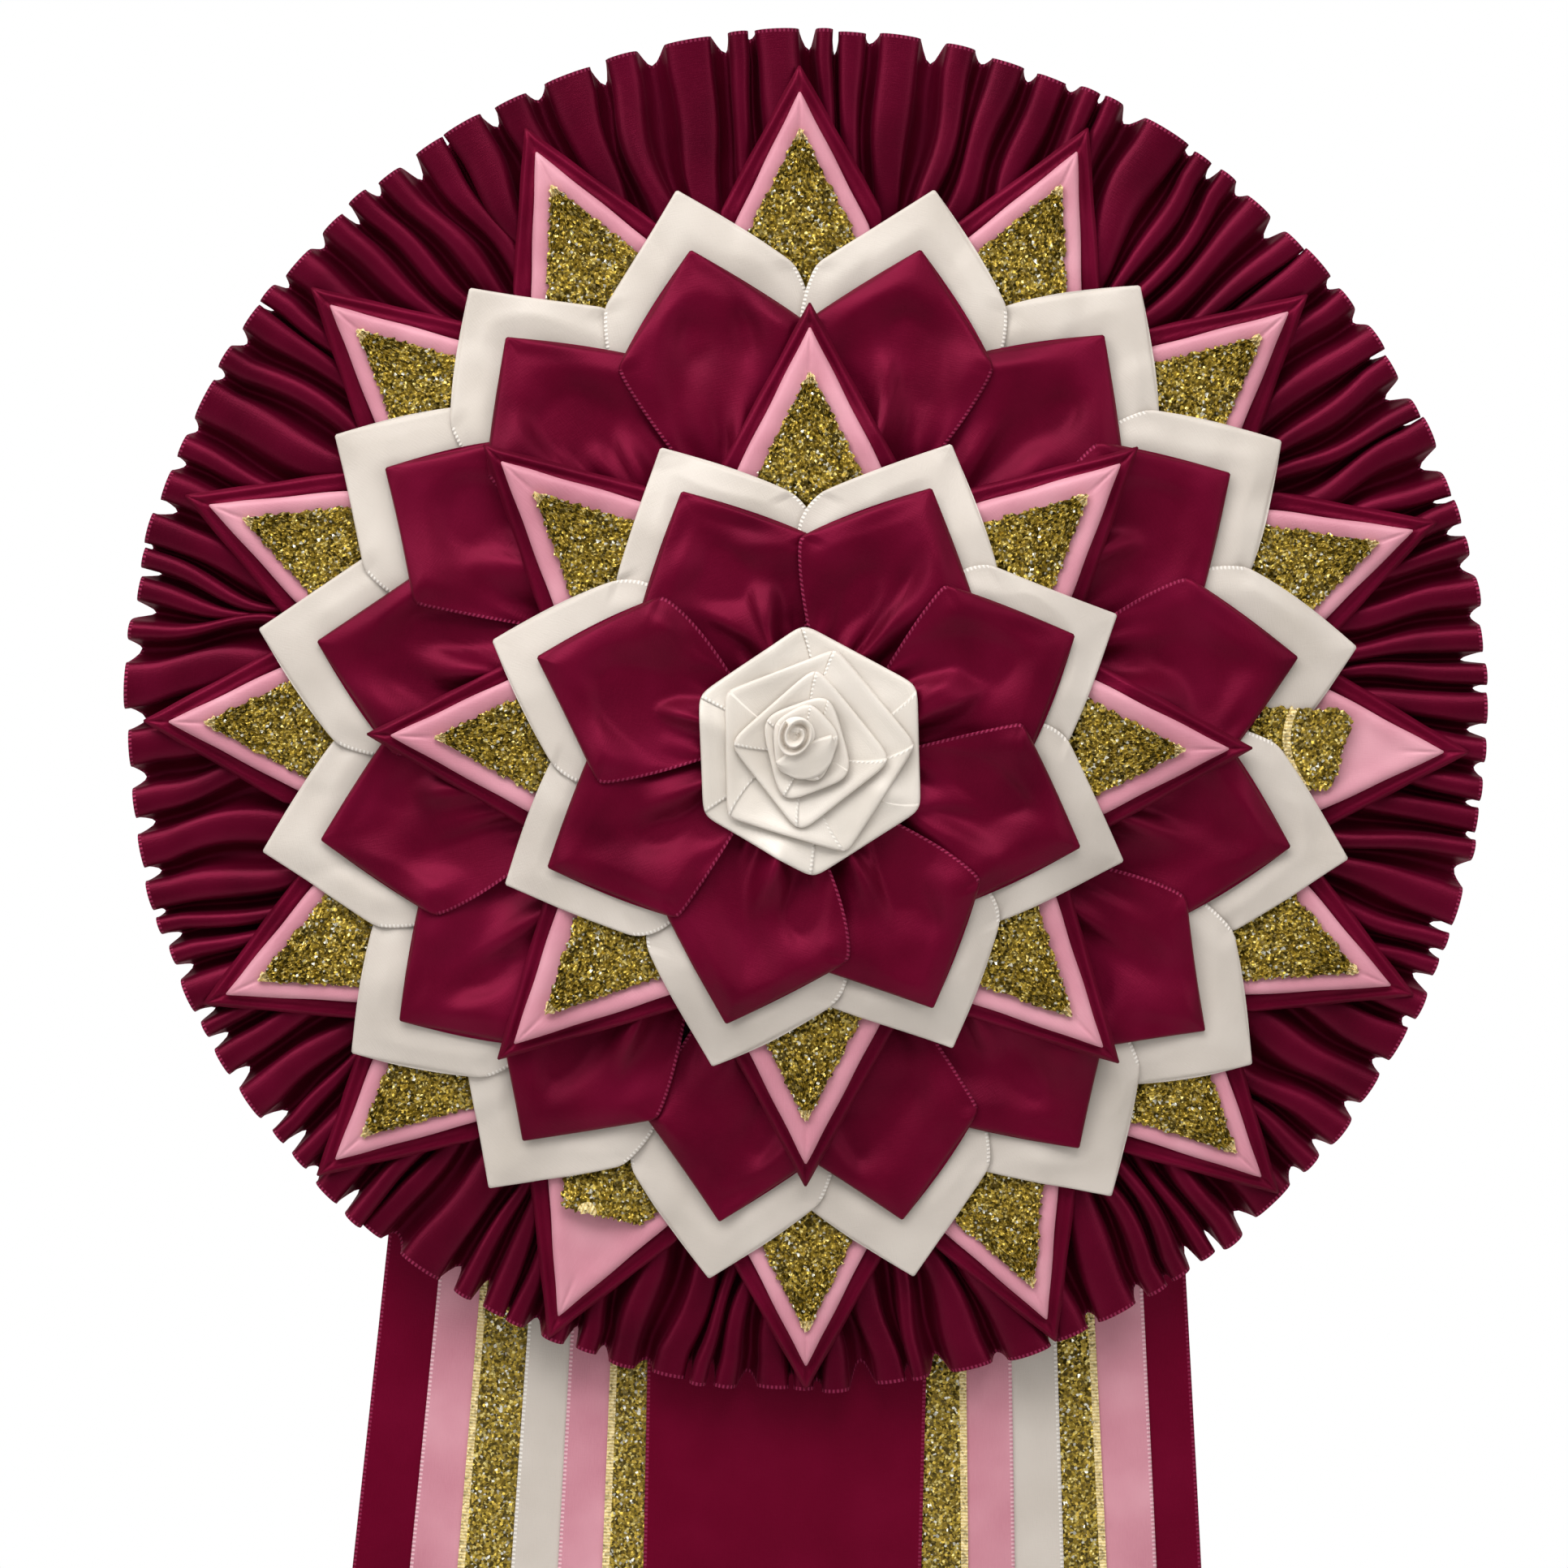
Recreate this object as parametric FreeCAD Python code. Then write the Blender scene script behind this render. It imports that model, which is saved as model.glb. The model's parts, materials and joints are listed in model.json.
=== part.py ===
"""A large layered award rosette with thirteen streamers and a bar pin on its back.

Millimetres. +Z is up as it hangs, and the face looks along -Y. The origin is the middle of the
pin's needle. A depth is the distance in front of the back card's rear face, so it grows along -Y.
An angle in the face runs clockwise from the top, as seen from the front.
"""
import FreeCAD
import Part
import os
from math import cos, pi, radians, sin, tan

V = FreeCAD.Vector

# ---- driving dimensions -------------------------------------------------------------------------
PETAL_RIBBON = 25.4          # 1 in ribbon, folded into every petal and laid in the narrow streamers
WIDE_RIBBON = 76.0           # 3 in ribbon of the ruffle and the burgundy streamers
HEAD_RADIUS = 180.0          # outer edge of the ruffle
STREAMER_CUT = 508.0         # 20 in cut length of each streamer
NEEDLE_ABOVE_CENTRE = 45.0   # height of the needle over the middle of the head
CARD_BEHIND_NEEDLE = 3.9     # needle's axis to the back card's rear face

# ---- cards and packing discs --------------------------------------------------------------------
# From the back: a card over the glued ends, a card that carries the ruffle, and a felt disc that
# fills the hole of each ring and carries the next one.
BACK_CARD = {"radius": 70.0, "depth": 0.0, "thick": 1.2}
SPACER_CARD = {"radius": 66.0, "depth": 1.3, "thick": 2.7}
BASE_CARD = {"radius": 112.0, "depth": 4.1, "thick": 1.4}
CORE_DISC = {"radius": 103.3, "depth": 5.6, "thick": 8.8}
TIER_OUTER = {"radius": 88.0, "depth": 14.5, "thick": 4.0}
TIER_MIDDLE = {"radius": 63.0, "depth": 18.6, "thick": 6.5}
TIER_INNER = {"radius": 33.0, "depth": 25.2, "thick": 8.2}
ROSE_PAD = {"radius": 15.5, "depth": 33.5, "thick": 5.6}

# ---- rings of folded ribbon ---------------------------------------------------------------------
# Each hand-placed ring has its own middle, measured from the middle of the ruffle.
OUTER_MIDDLE = (0.0, -4.5)
INNER_MIDDLE = (0.8, -7.0)
PETAL_THICK = 0.9
POINT_HALF_ANGLE = 27.0
OUTER_POINT_FOOT = 92.0      # radius of the glued foot of the outer points
INNER_POINT_FOOT = 36.0
# colour, tip radius, length down to where the sides turn in, depth of the middle, thickness
OUTER_POINTS = (("burgundy", 174.0, 38.0, 15.1, 1.2),
                ("pink", 167.0, 36.0, 16.3, 1.0),
                ("gold", 157.5, 33.0, 17.4, 1.0))
INNER_POINTS = (("burgundy", 115.0, 46.0, 25.8, 1.2),
                ("pink", 108.5, 42.0, 27.0, 1.0),
                ("gold", 97.0, 36.0, 28.1, 1.0))
BLUNT_GOLD = {"index": 4, "cut": 138.0, "slant": 3.0}
CURLED_GOLD = {"index": 9, "cut": 136.0, "slant": -2.0}
# tip radius, foot radius, half width of the foot, depth of the middle, roll in degrees
OUTER_IVORY = (145.5, 78.0, 12.0, 20.2, 2.5)
OUTER_BURGUNDY = (129.5, 66.0, 10.0, 23.5, 2.5)
INNER_IVORY = (86.5, 34.5, 10.0, 31.2, 4.0)
INNER_BURGUNDY = (74.0, 17.5, 5.0, 36.3, 5.0)
# How far each folded piece was glued from its even place: degrees round the ring.
OUTER_POINT_DRIFT = (-0.6, 2.3, 3.6, 3.7, 1.4, 0.6, -0.9, 0.1, 0.0, 0.6, 3.0, -1.5, 1.3, -1.3, -2.8, -2.3)
OUTER_PETAL_DRIFT = (1.9, 2.7, 1.8, 2.0, 1.5, 2.6, 0.2, 0.0, -1.1, 1.3, -1.1, -0.7, -0.1, -1.1, -3.1, -2.1)
INNER_POINT_DRIFT = (0.0, 2.4, 0.0, 0.5, 0.5, 0.0, 1.8, -2.0)
INNER_PETAL_DRIFT = (2.4, -1.1, -2.7, -3.0, -5.5, -1.6, -3.6, -3.8)

# ---- streamers ----------------------------------------------------------------------------------
HINGE_Z = -72.0              # where the glued ends stop and the streamers hang free
GLUED_LENGTH = 58.0
STREAMER_THICK = 0.3
STREAMER_PITCH = 0.4         # from one layer to the next
LEVEL = -225.0               # height at which the edges below are given
FORK_DEPTH = 0.42            # depth of the fork at the foot, as a share of the width
# name, outer edge at LEVEL, width, lean from the vertical in degrees, layer counted from the front
STREAMERS = (
    ("streamer_centre", 31.5, WIDE_RIBBON - 1.0, -1.2, 0),
    ("streamer_left_gold_inner", -54.6, PETAL_RIBBON, -2.4, 1),
    ("streamer_left_pink_inner", -66.4, PETAL_RIBBON, -3.2, 2),
    ("streamer_left_ivory", -78.9, PETAL_RIBBON, -4.1, 3),
    ("streamer_left_gold_outer", -93.4, PETAL_RIBBON, -4.8, 4),
    ("streamer_left_pink_outer", -106.1, PETAL_RIBBON, -5.8, 5),
    ("streamer_left_burgundy", -121.1, WIDE_RIBBON, -6.2, 6),
    ("streamer_right_gold_inner", 43.8, PETAL_RIBBON, 0.8, 1),
    ("streamer_right_pink_inner", 56.4, PETAL_RIBBON, 1.2, 2),
    ("streamer_right_ivory", 69.6, PETAL_RIBBON, 2.1, 3),
    ("streamer_right_gold_outer", 81.0, PETAL_RIBBON, 3.1, 4),
    ("streamer_right_pink_outer", 94.5, PETAL_RIBBON, 3.2, 5),
    ("streamer_right_burgundy", 106.5, WIDE_RIBBON, 3.4, 6),
)
STREAMER_FRONT = BASE_CARD["depth"] - 0.1   # depth of the front of layer 0

# ---- ruffle -------------------------------------------------------------------------------------
PLEATS = 100
RUFFLE_INNER = HEAD_RADIUS - WIDE_RIBBON
RUFFLE_BACK = BASE_CARD["depth"] + BASE_CARD["thick"] + 0.1
RUFFLE_VALLEY = (6.6, 8.5)   # depth of a valley at the inner edge and at the outer edge
RUFFLE_RIDGE = (8.2, 14.3)
VALLEY_SHORT = 3.5           # a valley's end stands this far inside a ridge's end

# ---- rose ---------------------------------------------------------------------------------------
# sides, radius behind, radius in front, height, turn in degrees
ROSE_ROUNDS = ((6, 29.5, 26.0, 5.0, 8.0), (5, 22.0, 19.0, 3.0, 20.0), (8, 15.5, 13.5, 1.6, 0.0))
ROSE_BUD = {"foot": 9.4, "top": 6.0, "height": 2.2}

# ---- bar pin ------------------------------------------------------------------------------------
NEEDLE_R = 0.5
RIVET_R = 0.6
RUNNING_GAP = 0.05
PLATE = {"half_length": 22.5, "half_width": 3.0, "thick": 0.8}
RIVET_X = -19.0
CATCH_X = 16.5
CATCH_LENGTH = 3.0
NEEDLE_SHAFT_END = 15.5
NEEDLE_TIP = 21.0


def depth_y(depth):
    """The row's Y of a depth."""
    return -CARD_BEHIND_NEEDLE - depth


def place(x, depth, z):
    """A row point from a place measured from the middle of the head."""
    return V(x, depth_y(depth), z - NEEDLE_ABOVE_CENTRE)


def save(name, *solids):
    shape = solids[0] if len(solids) == 1 else Part.makeCompound(list(solids))
    shape.exportStep(os.path.join("parts", name + ".step"))


def disc(spec, centre=(0.0, 0.0)):
    base = place(centre[0], spec["depth"], centre[1])
    return Part.makeCylinder(spec["radius"], spec["thick"], base, V(0, -1, 0))


def plate(outline, depth, thick):
    """A flat plate whose rear face is at that depth. outline holds (x, z) from the head's middle."""
    points = [place(x, depth, z) for x, z in outline]
    face = Part.Face(Part.makePolygon(points + points[:1]))
    return face.extrude(V(0, -thick, 0))


# ---- folded ribbon pieces -----------------------------------------------------------------------
def petal_outline(tip_radius, foot_radius, foot_half):
    """(across, outward) corners of a ribbon folded to a square tip and pinched at its foot."""
    w = PETAL_RIBBON
    return [(0, tip_radius), (w, tip_radius - w), (foot_half, foot_radius),
            (-foot_half, foot_radius), (-w, tip_radius - w)]


def point_outline(tip_radius, long, foot_radius, foot_half=11.0):
    """(across, outward) corners of a ribbon folded to a sharp point, turned in below."""
    half = long * tan(radians(POINT_HALF_ANGLE))
    return [(0, tip_radius), (half, tip_radius - long), (foot_half, foot_radius),
            (-foot_half, foot_radius), (-half, tip_radius - long)]


def folded(outline, depth, thick, angle, middle, roll=0.0):
    """One folded piece: mid-thickness at depth, rolled about its own radial line, set at angle."""
    flat = Part.Face(Part.makePolygon([V(a, thick / 2, o) for a, o in outline + outline[:1]]))
    solid = flat.extrude(V(0, -thick, 0))
    solid.rotate(V(0, 0, 0), V(0, 0, 1), roll)
    solid.rotate(V(0, 0, 0), V(0, 1, 0), angle)
    solid.translate(place(middle[0], depth, middle[1]))
    return solid


def ring(count, first, drift, outline, depth, thick, middle, roll=0.0):
    step = 360.0 / count
    return [folded(outline, depth, thick, first + k * step + drift[k], middle, roll)
            for k in range(count)]


def cut_gold(depth, thick, spec):
    """A gold ribbon end that stops short of the tip, cut across instead of folded to a point."""
    index, half = spec["index"], PETAL_RIBBON / 2
    angle = 360.0 / len(OUTER_POINT_DRIFT) * index + OUTER_POINT_DRIFT[index]
    outline = [(-half, spec["cut"] - spec["slant"]), (half, spec["cut"] + spec["slant"]),
               (11.0, OUTER_POINT_FOOT), (-11.0, OUTER_POINT_FOOT)]
    return folded(outline, depth, thick, angle, OUTER_MIDDLE)


# ---- ruffle -------------------------------------------------------------------------------------
def pleat_angle(k):
    """Angle of the k-th half pleat, with the uneven widths of hand gathering."""
    return pi / PLEATS * (k + 0.36 * sin(1.9 * k) + 0.26 * sin(0.83 * k + 1.0))


def ruffle():
    """The gathered ring: flat behind, with a ridge and a valley for each pleat in front."""
    def spot(radius, angle, depth):
        return place(radius * sin(angle), depth, radius * cos(angle))

    halves = 2 * PLEATS
    top_in, top_out, back_in, back_out = [], [], [], []
    for k in range(halves):
        # the jitter fades at the seam so that the ring closes evenly
        fade = min(1.0, k / 6.0, (halves - k) / 6.0)
        even = pi / PLEATS * k
        angle = even + fade * (pleat_angle(k) - even)
        depths = RUFFLE_RIDGE if k % 2 else RUFFLE_VALLEY
        outer = HEAD_RADIUS - (0.0 if k % 2 else VALLEY_SHORT)
        top_in.append(spot(RUFFLE_INNER, angle, depths[0]))
        top_out.append(spot(outer, angle, depths[1]))
        back_in.append(spot(RUFFLE_INNER, angle, RUFFLE_BACK))
        back_out.append(spot(outer, angle, RUFFLE_BACK))

    def facet(*corners):
        return Part.Face(Part.makePolygon(list(corners) + [corners[0]]))

    faces = []
    for k in range(halves):
        n = (k + 1) % halves
        faces.append(facet(top_in[k], top_in[n], top_out[n]))
        faces.append(facet(top_in[k], top_out[n], top_out[k]))
        faces.append(facet(top_out[k], top_out[n], back_out[n], back_out[k]))
        faces.append(facet(top_in[k], top_in[n], back_in[n], back_in[k]))
    rim = Part.makePolygon(back_out + back_out[:1])
    hole = Part.makePolygon(back_in + back_in[:1])
    faces.append(Part.Face([rim, hole]))
    shell = Part.Shell(faces)
    shell.sewShape()
    solid = Part.Solid(shell)
    if solid.Volume < 0:
        solid.reverse()
    return solid


# ---- streamers ----------------------------------------------------------------------------------
def streamer_axis(edge, width, lean):
    """Unit steps across and down a leaning strip, and its centre line's X at LEVEL."""
    down = V(sin(radians(lean)), 0, -cos(radians(lean)))
    across = V(cos(radians(lean)), 0, sin(radians(lean)))
    inward = 1.0 if edge < 0 else -1.0
    return across, down, edge + inward * width / 2 / cos(radians(lean))


def strip(edge, width, lean, layer, z_top, z_foot, forked):
    """One straight strip of a streamer, level at its top and forked or level at its foot."""
    across, down, middle = streamer_axis(edge, width, lean)
    slope = down.x / -down.z
    half = width / 2 / cos(radians(lean))

    def at(z, side):
        return (middle + slope * (LEVEL - z) + side * half, z)

    outline = [at(z_top, -1), at(z_top, 1), at(z_foot, 1)]
    if forked:
        outline.append(at(z_foot + FORK_DEPTH * width, 0))
    outline.append(at(z_foot, -1))
    depth = STREAMER_FRONT - STREAMER_THICK - layer * STREAMER_PITCH
    return plate(outline, depth, STREAMER_THICK)


def streamers():
    """Saves every hanging strip as its own node, and the glued ends as one node for each colour."""
    ends = {}
    foot = HINGE_Z + GLUED_LENGTH - STREAMER_CUT
    for name, edge, width, lean, layer in STREAMERS:
        save(name, strip(edge, width, lean, layer, HINGE_Z, foot, True))
        colour = next((c for c in ("gold", "pink", "ivory") if c in name), "burgundy")
        glued = strip(edge, width, lean, layer, HINGE_Z + GLUED_LENGTH, HINGE_Z + 0.3, False)
        ends.setdefault(colour, []).append(glued)
    for colour, solids in ends.items():
        save("streamer_ends_" + colour, *solids)


# ---- rose ---------------------------------------------------------------------------------------
def frustum(sides, radius, top_radius, depth, height, turn):
    """One round of flat-sided wraps, closing in towards the front."""
    def loop(r, d):
        points = []
        for k in range(sides):
            a = radians(turn + 360.0 * k / sides)
            points.append(place(INNER_MIDDLE[0] + r * sin(a), d, INNER_MIDDLE[1] + r * cos(a)))
        return Part.makePolygon(points + points[:1])

    return Part.makeLoft([loop(radius, depth), loop(top_radius, depth + height)], True, True)


def rose():
    """The rolled rose: ever smaller rounds of wraps, with the bud standing in the middle."""
    depth = ROSE_PAD["depth"] + ROSE_PAD["thick"] + 0.1
    solid = None
    for sides, radius, top_radius, height, turn in ROSE_ROUNDS:
        step = frustum(sides, radius, top_radius, depth, height, turn)
        solid = step if solid is None else solid.fuse(step)
        depth += height
    bud = Part.makeCone(ROSE_BUD["foot"], ROSE_BUD["top"], ROSE_BUD["height"],
                        place(INNER_MIDDLE[0], depth, INNER_MIDDLE[1]), V(0, -1, 0))
    return solid.fuse(bud)


# ---- bar pin ------------------------------------------------------------------------------------
def along_x(radius, x0, x1):
    return Part.makeCylinder(radius, x1 - x0, V(x0, 0, 0), V(1, 0, 0))


def pin_plate():
    """The stamped bar with two ears for the rivet and a slotted collar for the catch."""
    rear = -CARD_BEHIND_NEEDLE
    top = rear + PLATE["thick"]
    bar = Part.makeBox(2 * PLATE["half_length"], PLATE["thick"], 2 * PLATE["half_width"],
                       V(-PLATE["half_length"], rear, -PLATE["half_width"]))
    rivet_hole = Part.makeCylinder(RIVET_R, 10, V(RIVET_X, 0, -5), V(0, 0, 1))
    for side in (-1, 1):
        inner = 1.1 if side > 0 else -1.9
        web = Part.makeBox(3.6, -top, 0.8, V(RIVET_X - 1.8, top, inner))
        crown = Part.makeCylinder(1.8, 0.8, V(RIVET_X, 0, inner), V(0, 0, 1))
        bar = bar.fuse(web.fuse(crown).cut(rivet_hole))
    collar = along_x(2.7, CATCH_X, CATCH_X + CATCH_LENGTH)
    post = Part.makeBox(CATCH_LENGTH, -top, 3.2, V(CATCH_X, top, -1.6))
    collar = collar.fuse(post).cut(along_x(1.85, CATCH_X - 1, CATCH_X + CATCH_LENGTH + 1))
    slot = Part.makeBox(CATCH_LENGTH + 2, 4, 1.6, V(CATCH_X - 1, 0, -0.8))
    return bar.fuse(collar.cut(slot)).removeSplitter()


def pin_rivet():
    stem = Part.makeCylinder(RIVET_R, 4.6, V(RIVET_X, 0, -2.3), V(0, 0, 1))
    for z in (-2.3, 1.9):
        stem = stem.fuse(Part.makeCylinder(1.05, 0.4, V(RIVET_X, 0, z), V(0, 0, 1)))
    return stem.removeSplitter()


def pin_needle():
    """The needle: an eye on the rivet, a straight shaft and a long sharp tip."""
    eye = Part.makeCylinder(1.6, 1.8, V(RIVET_X, 0, -0.9), V(0, 0, 1))
    shaft = along_x(NEEDLE_R, RIVET_X, NEEDLE_SHAFT_END)
    tip = Part.makeCone(NEEDLE_R, 0.08, NEEDLE_TIP - NEEDLE_SHAFT_END, V(NEEDLE_SHAFT_END, 0, 0), V(1, 0, 0))
    bore = Part.makeCylinder(RIVET_R + RUNNING_GAP, 4, V(RIVET_X, 0, -2), V(0, 0, 1))
    return eye.fuse(shaft).fuse(tip).cut(bore).removeSplitter()


def catch_roller():
    """The slotted sleeve that turns in the collar to lock the tip in, with its thumb tab."""
    start, end = CATCH_X - 0.2, CATCH_X + CATCH_LENGTH + 1.0
    sleeve = along_x(1.85 - RUNNING_GAP, start, end)
    tab = Part.makeBox(0.8, 1.2, 3.6, V(end - 0.8, -0.6, -4.2))
    sleeve = sleeve.fuse(tab).cut(along_x(0.8, start - 1, end + 1))
    slot = Part.makeBox(end - start + 2, 4, 1.4, V(start - 1, 0, -0.7))
    return sleeve.cut(slot).removeSplitter()


def point_ring(prefix, specs, drift, foot_radius, middle, left_out=()):
    """Saves one ring of points, each point three ribbons deep, as a node for each colour."""
    for name, tip, long, depth, thick in specs:
        outline = point_outline(tip, long, foot_radius)
        solids = ring(len(drift), 0.0, drift, outline, depth, thick, middle)
        if name == "gold":
            solids = [s for k, s in enumerate(solids) if k not in left_out]
        save(prefix + name, *solids)


def petals(spec, drift, middle):
    """One ring of square-tipped petals, set half a step round from the points."""
    tip, foot_radius, foot_half, depth, roll = spec
    outline = petal_outline(tip, foot_radius, foot_half)
    return ring(len(drift), 180.0 / len(drift), drift, outline, depth, PETAL_THICK, middle, roll)


def flower():
    """Every ring of folded points and petals, from the ruffle up to the rose."""
    odd = (BLUNT_GOLD["index"], CURLED_GOLD["index"])
    point_ring("outer_points_", OUTER_POINTS, OUTER_POINT_DRIFT, OUTER_POINT_FOOT, OUTER_MIDDLE, odd)
    gold_depth, gold_thick = OUTER_POINTS[2][3:]
    save("outer_gold_blunt", cut_gold(gold_depth, gold_thick, BLUNT_GOLD))
    save("outer_gold_curled", cut_gold(gold_depth, gold_thick, CURLED_GOLD))
    save("outer_petals_ivory", *petals(OUTER_IVORY, OUTER_PETAL_DRIFT, OUTER_MIDDLE))
    save("outer_petals_burgundy", *petals(OUTER_BURGUNDY, OUTER_PETAL_DRIFT, OUTER_MIDDLE))
    point_ring("inner_points_", INNER_POINTS, INNER_POINT_DRIFT, INNER_POINT_FOOT, INNER_MIDDLE)
    for name, spec in (("ivory", INNER_IVORY), ("burgundy", INNER_BURGUNDY)):
        for k, solid in enumerate(petals(spec, INNER_PETAL_DRIFT, INNER_MIDDLE)):
            save("inner_petal_%s_%d" % (name, k + 1), solid)


def spacer_card():
    """The card beside the stack of glued ends: a disc cut level just above them."""
    top = HINGE_Z + GLUED_LENGTH + 0.3
    reach = SPACER_CARD["radius"] + 1
    above = Part.makeBox(2 * reach, SPACER_CARD["thick"] + 2, reach - top,
                         place(-reach, SPACER_CARD["depth"] + SPACER_CARD["thick"] + 1, top))
    return disc(SPACER_CARD).common(above)


def main():
    os.makedirs("parts", exist_ok=True)
    save("back_card", disc(BACK_CARD))
    save("spacer_card", spacer_card())
    save("base_card", disc(BASE_CARD))
    save("core_disc", disc(CORE_DISC))
    save("tier_disc_outer", disc(TIER_OUTER, OUTER_MIDDLE))
    save("tier_disc_middle", disc(TIER_MIDDLE, OUTER_MIDDLE))
    save("tier_disc_inner", disc(TIER_INNER, INNER_MIDDLE))
    save("rose_pad", disc(ROSE_PAD, INNER_MIDDLE))
    save("ruffle", ruffle())
    streamers()
    flower()
    save("rose", rose())
    save("pin_plate", pin_plate())
    save("pin_rivet", pin_rivet())
    save("pin_needle", pin_needle())
    save("catch_roller", catch_roller())


main()
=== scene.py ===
import json
import math

import bpy
import numpy as np
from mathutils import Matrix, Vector


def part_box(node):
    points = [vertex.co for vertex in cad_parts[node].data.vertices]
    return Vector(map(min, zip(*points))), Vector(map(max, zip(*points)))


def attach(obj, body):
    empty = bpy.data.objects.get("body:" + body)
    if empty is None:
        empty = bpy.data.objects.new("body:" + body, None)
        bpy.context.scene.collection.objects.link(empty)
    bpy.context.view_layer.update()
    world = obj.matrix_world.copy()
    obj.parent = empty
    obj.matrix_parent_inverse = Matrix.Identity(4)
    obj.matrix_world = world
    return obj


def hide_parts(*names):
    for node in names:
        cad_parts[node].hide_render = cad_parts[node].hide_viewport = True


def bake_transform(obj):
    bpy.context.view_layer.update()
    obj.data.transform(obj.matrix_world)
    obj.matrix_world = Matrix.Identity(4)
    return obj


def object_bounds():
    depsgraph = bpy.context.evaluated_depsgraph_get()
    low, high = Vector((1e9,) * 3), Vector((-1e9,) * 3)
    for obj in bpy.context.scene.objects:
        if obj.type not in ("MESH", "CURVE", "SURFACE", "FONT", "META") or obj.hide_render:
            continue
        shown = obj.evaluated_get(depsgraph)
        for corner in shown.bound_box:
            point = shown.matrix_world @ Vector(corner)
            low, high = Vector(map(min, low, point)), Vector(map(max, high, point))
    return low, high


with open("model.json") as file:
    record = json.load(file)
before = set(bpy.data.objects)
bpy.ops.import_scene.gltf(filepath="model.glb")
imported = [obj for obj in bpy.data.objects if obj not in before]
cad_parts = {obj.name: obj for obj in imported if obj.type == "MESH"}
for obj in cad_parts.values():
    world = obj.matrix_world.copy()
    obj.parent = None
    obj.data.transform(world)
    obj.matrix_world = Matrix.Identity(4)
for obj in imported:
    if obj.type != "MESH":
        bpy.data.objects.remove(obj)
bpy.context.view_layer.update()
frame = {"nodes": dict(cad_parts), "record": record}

# Lengths in this script are millimetres until a mesh is written, except where a name says otherwise.
# A place on the head is (x, depth, z): x and z as in the frame, depth forwards from the back card's rear.
MM = 0.001
RIBBON = 25.4  # the narrow ribbon's width
WIDE_RIBBON = 76.0  # the burgundy ribbon of the ruffle and the wide streamers
REAR_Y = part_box("back_card")[1].y / MM
HEAD = "head"


# ---- places read from the frame ----
def middle(node):
    """The x and z of the middle of a node's box."""
    low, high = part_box(node)
    return (low.x + high.x) / 2 / MM, (low.z + high.z) / 2 / MM


def front(node):
    """The depth of a node's foremost point."""
    return REAR_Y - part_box(node)[0].y / MM


def rear(node):
    """The depth of a node's rearmost point."""
    return REAR_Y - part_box(node)[1].y / MM


def radius(node):
    """Half the width of a node's box."""
    low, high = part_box(node)
    return (high.x - low.x) / 2 / MM


def corners(node):
    """The vertices of a CAD node as (x, depth, z)."""
    spots = np.array([v.co for v in frame["nodes"][node].data.vertices]) / MM
    return np.stack([spots[:, 0], REAR_Y - spots[:, 1], spots[:, 2]], 1)


class Spot:
    """Where a petal or point sits: its ring's middle, its clockwise angle from the top, and the radii of its
    tip and of the middle of its straight foot."""

    def __init__(self, centre, angle, tip, foot):
        self.centre, self.angle, self.tip, self.foot = centre, angle, tip, foot
        self.length = tip - foot

    def on_head(self, across, down):
        """The petal's own places, across and down from its tip, as x and z on the head."""
        reach, angle = self.tip - down, self.angle
        x = self.centre[0] + reach * math.sin(angle) + across * math.cos(angle)
        z = self.centre[1] + reach * math.cos(angle) - across * math.sin(angle)
        return x, z

    def order(self, first):
        """For sorting clockwise from the angle first, in degrees."""
        return (self.angle - math.radians(first)) % (2 * math.pi)


def spots_of(node, tier, foot_half):
    """The spots of the petals or points in a node, whose feet are this wide on each side."""
    centre = middle("tier_disc_" + tier)
    places = corners(node)
    dx, dz = places[:, 0] - centre[0], places[:, 2] - centre[1]
    reach = np.hypot(dx, dz)
    at_tip = reach > reach.max() - 0.5
    angles = np.sort(np.arctan2(dx[at_tip], dz[at_tip]) % (2 * math.pi))
    apart = np.diff(angles, prepend=angles[0] - 1) > 0.03
    foot = reach.min() * math.cos(math.asin(min(foot_half / reach.min(), 1)))
    return [Spot(centre, angle, reach.max(), foot) for angle in angles[apart]]


HEAD_X, HEAD_Z = middle("ruffle")
HEAD_RADIUS = radius("ruffle")


# ---- relief: how far forward the head reaches so far ----
CELL = 1.0
HALF_CELLS = 192
relief = np.zeros((2 * HALF_CELLS + 1, 2 * HALF_CELLS + 1))


def cell_of(x, z):
    return (x - HEAD_X) / CELL + HALF_CELLS, (z - HEAD_Z) / CELL + HALF_CELLS


def refine(grid, times):
    """A grid with this many times the points along each side, by straight lines between its points."""
    for _ in range(2):
        place = np.linspace(0, len(grid) - 1, (len(grid) - 1) * times + 1)
        first = np.minimum(place.astype(int), len(grid) - 2)
        share = (place - first)[:, None]
        grid = (grid[first] * (1 - share) + grid[first + 1] * share).T
    return grid


def cover(x, depth, z, times=3):
    """Adds a surface, given as grids, to the relief."""
    i, j = cell_of(refine(x, times), refine(z, times))
    i = np.clip(np.rint(i).astype(int), 0, 2 * HALF_CELLS)
    j = np.clip(np.rint(j).astype(int), 0, 2 * HALF_CELLS)
    np.maximum.at(relief, (i, j), refine(depth, times))


def cover_disc(node):
    """Adds a flat disc of the frame to the relief."""
    x, z = middle(node)
    side = np.arange(2 * HALF_CELLS + 1) - HALF_CELLS
    gx, gz = np.meshgrid(side * CELL + HEAD_X - x, side * CELL + HEAD_Z - z, indexing="ij")
    inside = np.hypot(gx, gz) < radius(node)
    relief[inside] = np.maximum(relief[inside], front(node))


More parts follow.
